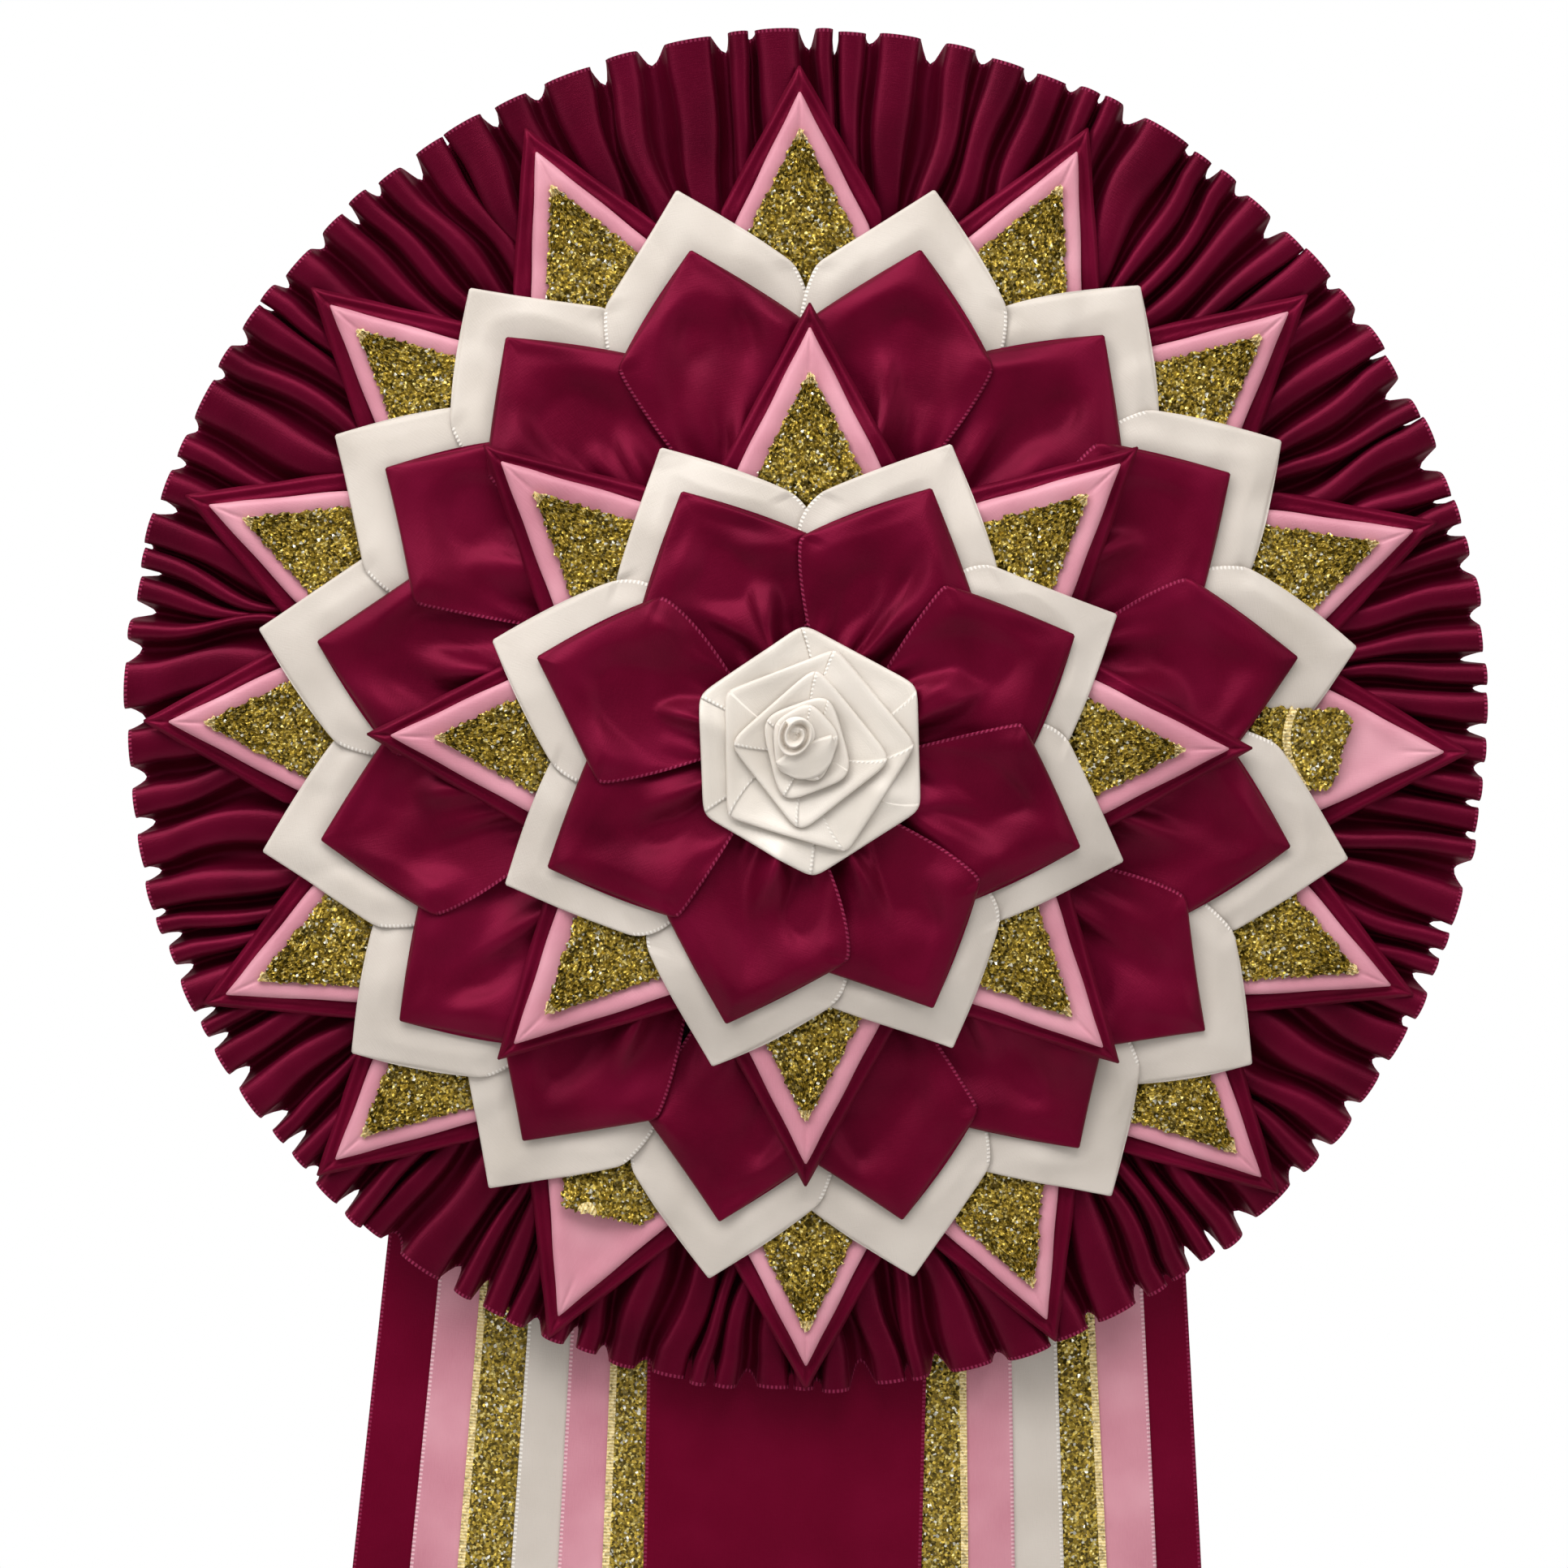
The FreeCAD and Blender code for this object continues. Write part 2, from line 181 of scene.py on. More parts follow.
def around(grid):
    """The mean of each cell's four neighbours."""
    g = np.pad(grid, 1, mode="edge")
    return (g[:-2, 1:-1] + g[2:, 1:-1] + g[1:-1, :-2] + g[1:-1, 2:]) / 4


def resting(x, z, reach, passes):
    """The height of a stiff cloth laid on the relief: it touches the high spots and bridges the low ones."""
    i, j = cell_of(x, z)
    i0, j0 = int(i.min()) - 6, int(j.min()) - 6
    under = relief[i0:int(i.max()) + 8, j0:int(j.max()) + 8]
    high = under.copy()
    for _ in range(reach):
        g = np.pad(high, 1, mode="edge")
        for a, b in np.ndindex(3, 3):
            high = np.maximum(high, g[a:a + high.shape[0], b:b + high.shape[1]])
    for _ in range(passes):
        high = np.maximum(under, around(high))
    for _ in range(3):
        high = (high + around(high)) / 2
    i, j = i - i0, j - j0
    fi, fj = i.astype(int), j.astype(int)
    si, sj = i - fi, j - fj
    near = high[fi, fj] * (1 - si) + high[fi + 1, fj] * si
    far = high[fi, fj + 1] * (1 - si) + high[fi + 1, fj + 1] * si
    return near * (1 - sj) + far * sj


# ---- meshes ----
NO_RIM = 20.0  # a rim distance that keeps the selvedge's stitches away


def plain_rim(along):
    """The rim of cloth whose selvedge doesn't show."""
    return np.stack([along, np.full_like(along, NO_RIM)], -1)


def new_object(name, data):
    made = bpy.data.objects.new(name, data)
    bpy.context.scene.collection.objects.link(made)
    return made


def quads(rows, cols, first=0):
    """The faces of a grid of points."""
    index = np.arange(rows * cols).reshape(rows, cols) + first
    return np.stack([index[:-1, :-1], index[1:, :-1], index[1:, 1:], index[:-1, 1:]], -1).reshape(-1, 4)


class Cloth:
    """Gathers grids of points into one piece. Each point has its place along and across the ribbon, for the
    weave, and its place along the selvedge and its distance from it, for the stitches."""

    def __init__(self):
        self.parts, self.count = [], 0

    def add(self, points, faces, weave, rim):
        self.parts.append((points, faces + self.count, weave, rim))
        self.count += len(points)

    def sheet(self, x, depth, z, weave, rim):
        """A single layer. Grids of rows and columns."""
        spots = np.stack([x, depth, z], -1).reshape(-1, 3)
        self.add(spots, quads(*x.shape), weave.reshape(-1, 2), rim.reshape(-1, 2))

    def form(self, x, depth, z, thick, weave, rim):
        """A closed form: the front as given, and a rear that lies this much behind the front."""
        rows, cols = x.shape
        front_spots = np.stack([x, depth, z], -1).reshape(-1, 3)
        rear_spots = np.stack([x, depth - thick, z], -1).reshape(-1, 3)
        n = rows * cols
        index = np.arange(n).reshape(rows, cols)
        edge = np.concatenate([index[0, :-1], index[:-1, -1], index[-1, :0:-1], index[:0:-1, 0]])
        after = np.roll(edge, -1)
        walls = np.stack([edge, after, after + n, edge + n], -1)
        faces = np.concatenate([quads(rows, cols), quads(rows, cols, n)[:, ::-1], walls])
        both = np.concatenate([front_spots, rear_spots])
        self.add(both, faces, np.tile(weave.reshape(-1, 2), (2, 1)), np.tile(rim.reshape(-1, 2), (2, 1)))

    def lay(self, x, depth, z, thick, weave, rim):
        """A closed form that is also added to the relief."""
        self.form(x, depth, z, thick, weave, rim)
        cover(x, depth, z)

    def build(self, name, node, material, slot, cut, held, under, body=HEAD, smooth=True, width=RIBBON):
        spots, faces, weave, rim = (np.concatenate(group) for group in zip(*self.parts))
        faces = faces.astype(np.int32)
        places = np.stack([spots[:, 0], REAR_Y - spots[:, 1], spots[:, 2]], 1) * MM
        front_faces = places[faces[:len(faces) // 4]]
        sides = front_faces[:, 2] - front_faces[:, 0], front_faces[:, 3] - front_faces[:, 1]
        if np.cross(*sides)[:, 1].sum() > 0:
            faces = faces[:, ::-1]
        mesh = bpy.data.meshes.new(name)
        mesh.vertices.add(len(places))
        mesh.vertices.foreach_set("co", places.astype(np.float32).ravel())
        mesh.loops.add(faces.size)
        mesh.loops.foreach_set("vertex_index", faces.ravel())
        mesh.polygons.add(len(faces))
        mesh.polygons.foreach_set("loop_start", np.arange(0, faces.size, 4, dtype=np.int32))
        for layer, values in (("weave", weave), ("rim", rim)):
            uv = mesh.uv_layers.new(name=layer)
            uv.data.foreach_set("uv", values[faces.ravel()].astype(np.float32).ravel())
        mesh.update()
        mesh.validate()
        mesh.polygons.foreach_set("use_smooth", np.full(len(mesh.polygons), smooth))
        mesh.materials.append(material)
        piece = new_object(name, mesh)
        if body:
            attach(piece, body)
        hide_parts(node)
        return piece


# ---- materials ----
def linear(r, g, b):
    """A colour given as 0 to 255, as a linear colour."""
    shares = [value / 255 for value in (r, g, b)]
    return tuple(v / 12.92 if v < 10 / 255 else ((v + 0.055) / 1.055) ** 2.4 for v in shares) + (1.0,)


class Nodes:
    """A material's node tree with short calls for the nodes used here."""

    def __init__(self, name):
        self.material = bpy.data.materials.new(name)
        self.material.use_nodes = True
        self.tree = self.material.node_tree
        self.shader = self.tree.nodes["Principled BSDF"]

    def node(self, kind, inputs=None, **settings):
        node = self.tree.nodes.new("ShaderNode" + kind)
        for key, value in settings.items():
            setattr(node, key, value)
        for key, value in (inputs or {}).items():
            self.put(value, node.inputs[key])
        return node

    def put(self, value, socket):
        """Sets a socket to a number or colour, or links it."""
        if isinstance(value, bpy.types.NodeSocket):
            self.tree.links.new(value, socket)
        else:
            socket.default_value = value

    def set(self, **values):
        """Sets the shader's own sockets, with _ for a space."""
        for key, value in values.items():
            self.put(value, self.shader.inputs[key.replace("_", " ")])

    def math(self, operation, a, b=0.0, c=0.0, clamp=False):
        return self.node("Math", {0: a, 1: b, 2: c}, operation=operation, use_clamp=clamp).outputs[0]

    def mix(self, share, a, b):
        """A colour between a and b."""
        node = self.node("Mix", data_type="RGBA")
        self.put(share, node.inputs[0])
        self.put(a, node.inputs[6])
        self.put(b, node.inputs[7])
        return node.outputs[2]

    def ramp(self, share, stops, kind="LINEAR"):
        node = self.node("ValToRGB", {0: share})
        node.color_ramp.interpolation = kind
        while len(node.color_ramp.elements) < len(stops):
            node.color_ramp.elements.new(0.5)
        for element, (place, colour) in zip(node.color_ramp.elements, stops):
            element.position = place
            element.color = colour
        return node.outputs[0]

    def uv(self, layer, scale=(1.0, 1.0, 1.0)):
        source = self.node("UVMap", uv_map=layer).outputs[0]
        return self.node("Mapping", {0: source, 3: scale}).outputs[0]

    def place(self):
        return self.node("TexCoord").outputs["Object"]

    def noise(self, at, scale, detail=2.0, rough=0.5):
        return self.node("TexNoise", {0: at, "Scale": scale, "Detail": detail, "Roughness": rough}).outputs[0]

    def bump(self, height, strength, distance):
        return self.node("Bump", {"Height": height, "Strength": strength, "Distance": distance}).outputs[0]

    def stitches(self, width, pitch):
        """1 on the small loops of a selvedge this wide, and the selvedge's own mask."""
        split = self.node("SeparateXYZ", {0: self.uv("rim")})
        band = self.math("LESS_THAN", split.outputs[1], width)
        wave = self.math("SINE", self.math("MULTIPLY", split.outputs[0], 2 * math.pi / pitch))
        loops = self.math("MULTIPLY_ADD", wave, 0.5, 0.5)
        return self.math("MULTIPLY", loops, band), band


SATIN_SELVEDGE = 0.9  # the width of the stitched edge
SATIN_STITCH = 1.15  # from one loop of the edge to the next
BUMP_DEPTH = 0.0002  # how deep the weave looks, in metres
FLAKES_PER_MM = 1.55


def satin(name, dark, mid, light, selvedge, shine, metal, gloss, tint):
    """Woven satin: fine threads along the ribbon, slow drifts of tone, and a stitched selvedge."""
    dark, mid, light, selvedge, tint = (linear(*colour) for colour in (dark, mid, light, selvedge, tint))
    n = Nodes(name)
    threads = n.noise(n.uv("weave", (0.35, 3.2, 1.0)), 1.0, 3.0, 0.6)
    ribs = n.noise(n.uv("weave", (2.6, 0.5, 1.0)), 1.0, 1.0)
    cloud = n.noise(n.place(), 45.0, 2.0)
    tone = n.ramp(cloud, [(0.2, dark), (0.5, mid), (0.85, light)])
    fibre = n.mix(n.math("MULTIPLY", n.math("SUBTRACT", threads, 0.35, clamp=True), 0.4), tone, light)
    loops, band = n.stitches(SATIN_SELVEDGE, SATIN_STITCH)
    colour = n.mix(n.math("MULTIPLY", loops, 0.75), fibre, selvedge)
    edge = n.math("SUBTRACT", band, loops, clamp=True)
    colour = n.mix(n.math("MULTIPLY", edge, 0.35), colour, dark)
    weave = n.math("ADD", n.math("MULTIPLY", threads, 0.6), n.math("MULTIPLY", ribs, 0.4))
    height = n.math("ADD", weave, n.math("MULTIPLY", loops, 1.6))
    n.set(Base_Color=colour, Roughness=n.math("MULTIPLY_ADD", threads, 0.14, shine - 0.07), Metallic=metal,
          Specular_IOR_Level=gloss, Specular_Tint=tint, Sheen_Weight=0.05, Sheen_Roughness=0.4,
          Sheen_Tint=tint, Normal=n.bump(height, 0.5, BUMP_DEPTH))
    return n.material


def glitter(name, band_width):
    """Gold tinsel cloth: small flakes that each face their own way, and a pale woven selvedge."""
    n = Nodes(name)
    at = n.uv("weave")
    flakes = n.node("TexVoronoi", {0: at, "Scale": FLAKES_PER_MM})
    borders = n.node("TexVoronoi", {0: at, "Scale": FLAKES_PER_MM}, feature="DISTANCE_TO_EDGE").outputs[0]
    pick = n.node("SeparateXYZ", {0: flakes.outputs["Color"]})
    # The last, near-white stop of this ramp paints glints on a few flakes: painted highlights.
    colour = n.ramp(pick.outputs[0], [
        (0.0, linear(78, 62, 12)), (0.26, linear(140, 114, 28)), (0.58, linear(196, 166, 62)),
        (0.84, linear(244, 222, 136)), (0.94, linear(255, 252, 236))], "CONSTANT")
    patch = n.noise(n.place(), 180.0, 3.0)
    colour = n.mix(n.math("MULTIPLY", patch, 0.3), colour, linear(150, 130, 36))
    gap = n.math("LESS_THAN", borders, 0.05)
    colour = n.mix(n.math("MULTIPLY", gap, 0.5), colour, linear(40, 30, 8))
    loops, band = n.stitches(band_width, 0.9)
    pale = n.mix(loops, linear(214, 184, 112), linear(246, 226, 168))
    colour = n.mix(band, colour, pale)
    facing = n.node("VectorMath", {0: flakes.outputs["Color"], 1: (0.5, 0.5, 0.5)}, operation="SUBTRACT")
    lean = n.node("VectorMath", {0: facing.outputs[0], "Scale": 1.5}, operation="SCALE")
    tilted = n.node("VectorMath", {0: n.bump(loops, 0.4, BUMP_DEPTH), 1: lean.outputs[0]}, operation="ADD")
    normal = n.node("VectorMath", {0: tilted.outputs[0]}, operation="NORMALIZE").outputs[0]
    metal = n.math("MULTIPLY", n.math("SUBTRACT", 1.0, band), 0.55)
    n.set(Base_Color=colour, Metallic=metal, Normal=normal,
          Roughness=n.math("MULTIPLY_ADD", pick.outputs[1], 0.25, 0.22))
    return n.material


def felt(name, colour, light):
    n = Nodes(name)
    fuzz = n.noise(n.place(), 900.0, 6.0, 0.7)
    tone = n.mix(fuzz, colour, light)
    n.set(Base_Color=tone, Roughness=0.95, Sheen_Weight=0.4, Normal=n.bump(fuzz, 0.6, 0.0004))
    return n.material


def card(name, colour, light):
    n = Nodes(name)
    grain = n.noise(n.place(), 260.0, 8.0, 0.65)
    specks = n.noise(n.place(), 1500.0, 2.0)
    tone = n.mix(grain, colour, light)
    tone = n.mix(n.math("GREATER_THAN", specks, 0.68), tone, colour)
    n.set(Base_Color=tone, Roughness=0.75, Normal=n.bump(grain, 0.25, 0.0002))
    return n.material


def steel(name):
    n = Nodes(name)
    marks = n.noise(n.place(), 700.0, 4.0, 0.6)
    smudge = n.noise(n.place(), 90.0, 3.0)
    n.set(Base_Color=n.mix(smudge, linear(196, 192, 184), linear(226, 224, 220)), Metallic=1.0,
          Roughness=n.math("MULTIPLY_ADD", smudge, 0.25, 0.14), Normal=n.bump(marks, 0.08, 0.0001))
    return n.material


BURGUNDY = satin("burgundy satin", (66, 0, 20), (88, 2, 30), (106, 8, 42), (150, 50, 84),
                 0.45, 0.25, 0.5, (255, 96, 140))
# The ruffle's copy of the burgundy satin is painted darker than the petals' one: painted shade of the deep
# pleats on the same cloth.
SHADED_RUFFLE_BURGUNDY = satin("burgundy ruffle satin with painted shade", (56, 0, 16), (76, 1, 25), (94, 5, 36), (150, 50, 84),
                      0.40, 0.3, 0.6, (255, 96, 140))
# The streamers' copy of the burgundy satin is painted lighter: painted light on the same cloth.
LIT_TAIL_BURGUNDY = satin("burgundy streamer satin with painted light", (90, 1, 28), (98, 2, 33), (108, 6, 40), (150, 50, 84),
                      0.45, 0.2, 0.4, (255, 96, 140))
PINK = satin("pink satin", (188, 118, 134), (202, 136, 150), (220, 160, 172), (240, 200, 206),
             0.42, 0.0, 0.5, (255, 225, 230))
IVORY = satin("ivory satin", (192, 182, 171), (201, 191, 181), (211, 202, 192), (244, 238, 230),
              0.42, 0.0, 0.4, (255, 252, 248))
# The rose's ivory and IVORY above are one ribbon; the rose's copy is painted lighter than the other: painted
# light.
LIT_ROSE_IVORY = satin("ivory rose satin with painted light", (208, 198, 186), (218, 209, 198), (228, 219, 209), (244, 238, 230),
                   0.38, 0.0, 0.6, (255, 252, 248))
SATIN = {"burgundy": BURGUNDY, "pink": PINK, "ivory": IVORY}
GOLD = glitter("gold glitter", 0.5)
GOLD_RIBBON = glitter("gold glitter ribbon", 1.9)
FELT = felt("dark felt", linear(70, 20, 36), linear(110, 44, 62))
CARD = card("white card", linear(222, 216, 204), linear(240, 236, 228))
STEEL = steel("nickel plate")


# ---- ruffle ----
PLEATS = 100
PLEAT_STEPS = 22
RUFFLE_ROWS = 44
RUFFLE_FOOT = 104.0  # where the pleats are stitched down
NOTCH = 6.2  # the furthest that the rim falls back between two pleats
PLEAT_HEIGHT = 6.4  # at the foot
PLEAT_GROWTH = 2.8  # from the foot to the rim
RUFFLE_REAR = 5.75  # just in front of the base card


def wander(angle, share, random, terms, slow, fast):
    """A smooth random field over the ruffle, about -1 to 1."""
    total = 0.0
    for _ in range(terms):
        waves, turns = random.integers(slow, fast), random.uniform(-4.0, 4.0)
        total = total + np.sin(waves * angle + turns * share + random.uniform(0, 6.28))
    return total / math.sqrt(terms)


def per_pleat(random, low, high, phase):
    """A random value for each ridge, blended smoothly from ridge to ridge right round the ruffle."""
    values = random.uniform(low, high, PLEATS)
    ring = np.concatenate([values[-1:], values, values[:1]])
    place = phase + 0.5
    first = np.minimum(place.astype(int), PLEATS)
    share = smooth_step(place - first)
    return ring[first] * (1 - share) + ring[first + 1] * share


def ruffle():
    """The gathered ribbon: rounded pleats that lean, wander and differ, with a notched rim."""
    random = np.random.default_rng(11)
    widths = random.uniform(0.62, 1.0, PLEATS) * random.choice([0.85, 1.0, 1.45], PLEATS, p=[0.35, 0.4, 0.25])
    edges = np.concatenate([[0], np.cumsum(widths)]) * 2 * math.pi / widths.sum()
    phase = np.linspace(0, PLEATS, PLEATS * PLEAT_STEPS + 1)[None, :]
    share = (np.linspace(0, 1, RUFFLE_ROWS) ** 0.9)[:, None]
    pleat = np.minimum(phase.astype(int), PLEATS - 1)
    turn = 2 * math.pi * (phase - pleat)
    step = np.diff(edges)[pleat]
    base_angle = np.interp(phase, np.arange(PLEATS + 1), edges)

    fat = per_pleat(random, 0.40, 0.58, phase)
    roll = (0.25 + 0.4 * share) * per_pleat(random, 0.5, 1.3, phase)
    sideways = (fat * np.sin(2 * turn) - roll * np.sin(turn)) * step / (2 * math.pi)
    lean = wander(base_angle, 0.0, random, 6, 3, 16) * 0.05 + per_pleat(random, -0.022, 0.022, phase)
    kink = wander(base_angle, share * 2.4, random, 9, 6, 34) * 0.02
    flick = per_pleat(random, -0.018, 0.018, phase) * np.maximum(share - 0.55, 0) * 2
    bend = lean * (1 - share) ** 1.3 + kink * np.sin(math.pi * np.minimum(share * 1.1, 1.0)) + flick
    angle = base_angle + sideways + bend

    weak = per_pleat(random, 0.55, 1.15, phase)
    strong = per_pleat(random, 0.78, 1.12, phase)
    power = weak * (1 - share) ** 1.5 + strong * (1 - (1 - share) ** 1.5)
    height = (PLEAT_HEIGHT + PLEAT_GROWTH * share) * power
    shape = (0.5 - 0.5 * np.cos(turn)) ** 0.72
    valley = 6.3 + 1.3 * share + 0.5 * wander(base_angle, share, random, 4, 10, 40) * share
    crush = np.exp(-((base_angle - math.pi) / 0.5) ** 2)
    crease = wander(base_angle, share * 3.0, random, 10, 40, 160) * (0.3 + 0.7 * crush * (1 - share))
    dip = 0.9 * wander(base_angle, share * 1.6, random, 7, 8, 60) * np.sin(math.pi * share) * shape
    depth = np.maximum(valley + height * shape + dip + crease * (1 - share ** 3), RUFFLE_REAR)

    deep = per_pleat(random, 1.0, math.sqrt(NOTCH), (phase + 0.5) % PLEATS) ** 2  # one value for each valley
    fall = deep * ((1 + np.cos(turn)) / 2) ** 9
    crown = per_pleat(random, -1.2, 0.2, phase)
    rim = HEAD_RADIUS - 0.7 - fall + crown
    reach = RUFFLE_FOOT + (rim - RUFFLE_FOOT) * share
    x = HEAD_X + reach * np.sin(angle)
    z = HEAD_Z + reach * np.cos(angle)
    x, depth, z = (np.array(g) for g in np.broadcast_arrays(x, depth, z))
    for grid in (x, depth, z):
        grid[:, -1] = grid[:, 0]

    steps = np.sqrt(np.diff(x[-1]) ** 2 + np.diff(z[-1]) ** 2 + np.diff(depth[-1]) ** 2)
    run = np.broadcast_to(np.concatenate([[0], np.cumsum(steps)])[None, :], x.shape)
    across = np.broadcast_to((1 - share) * WIDE_RIBBON, x.shape)
    along = np.stack([run, across], -1)
    cloth = Cloth()
    cloth.sheet(x, depth, z, along, along)
    cloth.build("ruffle_cloth", "ruffle", SHADED_RUFFLE_BURGUNDY, "burgundy_satin", float(run.max()), "gathered",
                "base_card", width=WIDE_RIBBON)
    cover(x, depth, z, 2)


# ---- petals and points ----
PETAL_CUT = 90.0  # the length of ribbon folded into one petal
POINT_CUT = 1.24  # the length of ribbon folded into one point, as a share of the point's own
GOLD_CUT = 1.3  # the same for the gold points
POINT_FOOT = 11.0  # half the width of a point's foot
STRAIGHT = 0.985  # a petal's sides are selvedge from this share of the ribbon's width down


def spread(count, edge=1.7):
    """Places from -1 to 1, closer together near both ends."""
    t = np.linspace(-1, 1, count)
    return np.sign(t) * (1 - (1 - np.abs(t)) ** edge)


def soft_min(a, b, size):
    """The smaller of a and b, rounded where they meet."""
    return (a + b - np.sqrt((a - b) ** 2 + size ** 2)) / 2


def smooth_step(t):
    t = np.clip(t, 0, 1)
    return t * t * (3 - 2 * t)


def hump(d, at, width):
    return np.exp(-((d - at) / width) ** 2)


def rounded(d, size):
    """A quarter circle that rises from 0 at an edge to 1 this far in from it."""
    return np.sqrt(np.clip(1 - (1 - np.clip(d / size, 0, 1)) ** 2, 0, 1))


def creases(across, down, length, random, count, strength):
    """Soft folds that run up from a pinched foot and fade towards the tip."""
    total = np.zeros_like(across)
    for _ in range(count):
        start = random.uniform(-5, 5)
        end = random.uniform(-14, 14)
        reach = random.uniform(0.5, 0.8)
        q = np.clip((length - down) / (length * reach), 0, 1.2)
        line = start + (end - start) * q ** 1.3 + random.uniform(-3, 3) * np.sin(math.pi * np.minimum(q, 1))
        width = 2.0 + random.uniform(4.5, 9.0) * q
        sharp = random.choice([-1.0, 1.0])
        off = (across - line) * sharp
        side = np.where(off > 0, off / width, off / (0.42 * width))
        fade = smooth_step((1.12 - q) / 0.7)
        total += random.uniform(0.55, 1.0) * np.exp(-side ** 2) * fade
    return total * strength


def wavy(across, down, random):
    """A slow unevenness of the cloth, about -1 to 1."""
    total = 0.0
    for _ in range(4):
        a, b = random.normal(0, 0.13, 2)
        total = total + np.sin(a * across + b * down + random.uniform(0, 6.28))
    return total / 2


def dimples(across, down, random, count, depth):
    """Soft hollows below the tip."""
    total = np.zeros_like(across)
    for _ in range(count):
        at, low = random.uniform(-10, 10), random.uniform(20, 34)
        wide, tall = random.uniform(3.0, 6.0), random.uniform(5.0, 9.0)
        total -= random.uniform(0.4, 1.0) * np.exp(-((across - at) / wide) ** 2 - ((down - low) / tall) ** 2)
    return total * depth


def petal(cloth, spot, foot_half, floor, style, random, rows=44, cols=41):
    """One folded ribbon petal: a square tip with two folded edges, selvedges below the shoulders, and a
    pinched foot. It lies on the relief and is added to it."""
    length = spot.length
    down = (0.3 + (length - 0.3) * np.linspace(0, 1, rows) ** 1.1)[:, None]
    u = spread(cols)[None, :]
    bulge = random.uniform(-0.4, 1.5, 2)
    q = np.clip((down - RIBBON) / (length - RIBBON), 0, 1)
    pinch = random.uniform(*style["pinch"], 2)
    halves = []
    for side in range(2):
        folded = down + bulge[side] * np.sin(math.pi * np.clip(down / RIBBON, 0, 1))
        sides = RIBBON - (RIBBON - foot_half) * q ** pinch[side] + style["flare"] * np.sin(math.pi * q)
        halves.append(soft_min(folded, sides, 1.0) + 0.1)
    half = np.where(u < 0, halves[0], halves[1])
    across = u * half
    down = np.broadcast_to(down, across.shape)
    from_fold = (down - np.abs(across)) / math.sqrt(2) + 0.3
    left_fold, right_fold = (down - across) / math.sqrt(2), (down + across) / math.sqrt(2)
    inner_fold = np.clip(soft_min(left_fold, right_fold, 3.0), 0, None)
    from_side = half - np.abs(across)
    below = down > STRAIGHT * RIBBON

    round_edge = rounded(np.minimum(from_fold, from_side), 0.9)
    ridge, sunk, width = style["ridge"], style["sunk"], style["width"]
    uneven = 1 + 0.3 * wavy(across, down, random)
    swell = ridge * (0.35 + 0.65 * np.clip(inner_fold / (width * uneven), 0, 1) ** style["rise"])
    swell -= (ridge - sunk) * smooth_step((inner_fold - 0.7 * width * uneven) / (2.2 * width))
    swell += 0.25 * style["strength"] * wavy(across, down, random) * smooth_step(from_fold / 5)
    calm = 0.3 + 0.7 * smooth_step(from_side / 8)
    body = np.where(below, calm, 1.0) * swell
    shape = creases(across, down, length, random, style["creases"], style["strength"])
    shape += dimples(across, down, random, style["dimples"], style["hollow"])
    pleats = np.cos(across * random.uniform(0.7, 1.0) + random.uniform(0, 6))
    shape += 0.4 * style["strength"] * q ** 2 * pleats * smooth_step(from_side / 3)
    shape *= smooth_step(from_fold / 9)

    x, z = spot.on_head(across, down)
    base = np.maximum(resting(x, z, 4, 150), floor) + 0.35
    rise = body * round_edge + shape
    depth = base + 0.25 + np.maximum(rise, 0.05)
    weave = np.stack([across, down], -1)
    rim = np.stack([down * 1.08, np.where(below, from_side, NO_RIM)], -1)
    cloth.lay(x, depth, z, np.maximum(depth - base, 0.2), weave, rim)


def point(cloth, spot, shoulder, half_angle, floor, profile, random):
    """One narrow folded point, at its widest at the shoulder. It lies on the relief and is added to it."""
    length = spot.length
    down = (0.3 + (length - 0.3) * np.linspace(0, 1, 40) ** 1.1)[:, None]
    u = spread(31, 1.5)[None, :]
    slope = math.radians(half_angle)
    wide = shoulder * math.tan(slope)
    q = np.clip((down - shoulder) / max(length - shoulder, 1), 0, 1)
    half = soft_min(down * math.tan(slope), wide - (wide - POINT_FOOT) * q, 1.0) + 0.1
    half = half + 0.12 * np.sin(down * 0.35 + random.uniform(0, 6)) * smooth_step(down / 8)
    across = u * half
    down = np.broadcast_to(down, across.shape)
    inside = down * math.sin(slope) - np.abs(across) * math.cos(slope) + 0.2
    mitre = hump(across, 0.0, 0.45) * smooth_step((14 - down) / 8)
    rise = profile(inside, mitre)
    rise = rise + 0.10 * np.sin(down * 0.6 + random.uniform(0, 6)) * smooth_step(inside / 3)
    x, z = spot.on_head(across, down)
    base = np.maximum(resting(x, z, 7, 160), floor) + 0.25
    depth = base + 0.2 + np.maximum(rise, 0.05)
    weave = np.stack([down, across], -1)
    cloth.lay(x, depth, z, np.maximum(depth - base, 0.2), weave, plain_rim(down))


def double_rim(inside, mitre):
    """Two narrow rolls with a groove between them, then a flat middle."""
    edge = np.sqrt(np.clip(inside / 0.8, 0, 1))
    rolls = 1.0 * hump(inside, 1.5, 1.0) + 1.25 * hump(inside, 4.3, 1.3)
    return (0.5 + rolls) * edge - 0.5 * mitre


def puffed_rim(inside, mitre):
    """One soft roll along the folded edges."""
    return (1.35 + 0.55 * hump(inside, 2.4, 2.2)) * rounded(inside, 1.7) - 0.4 * mitre


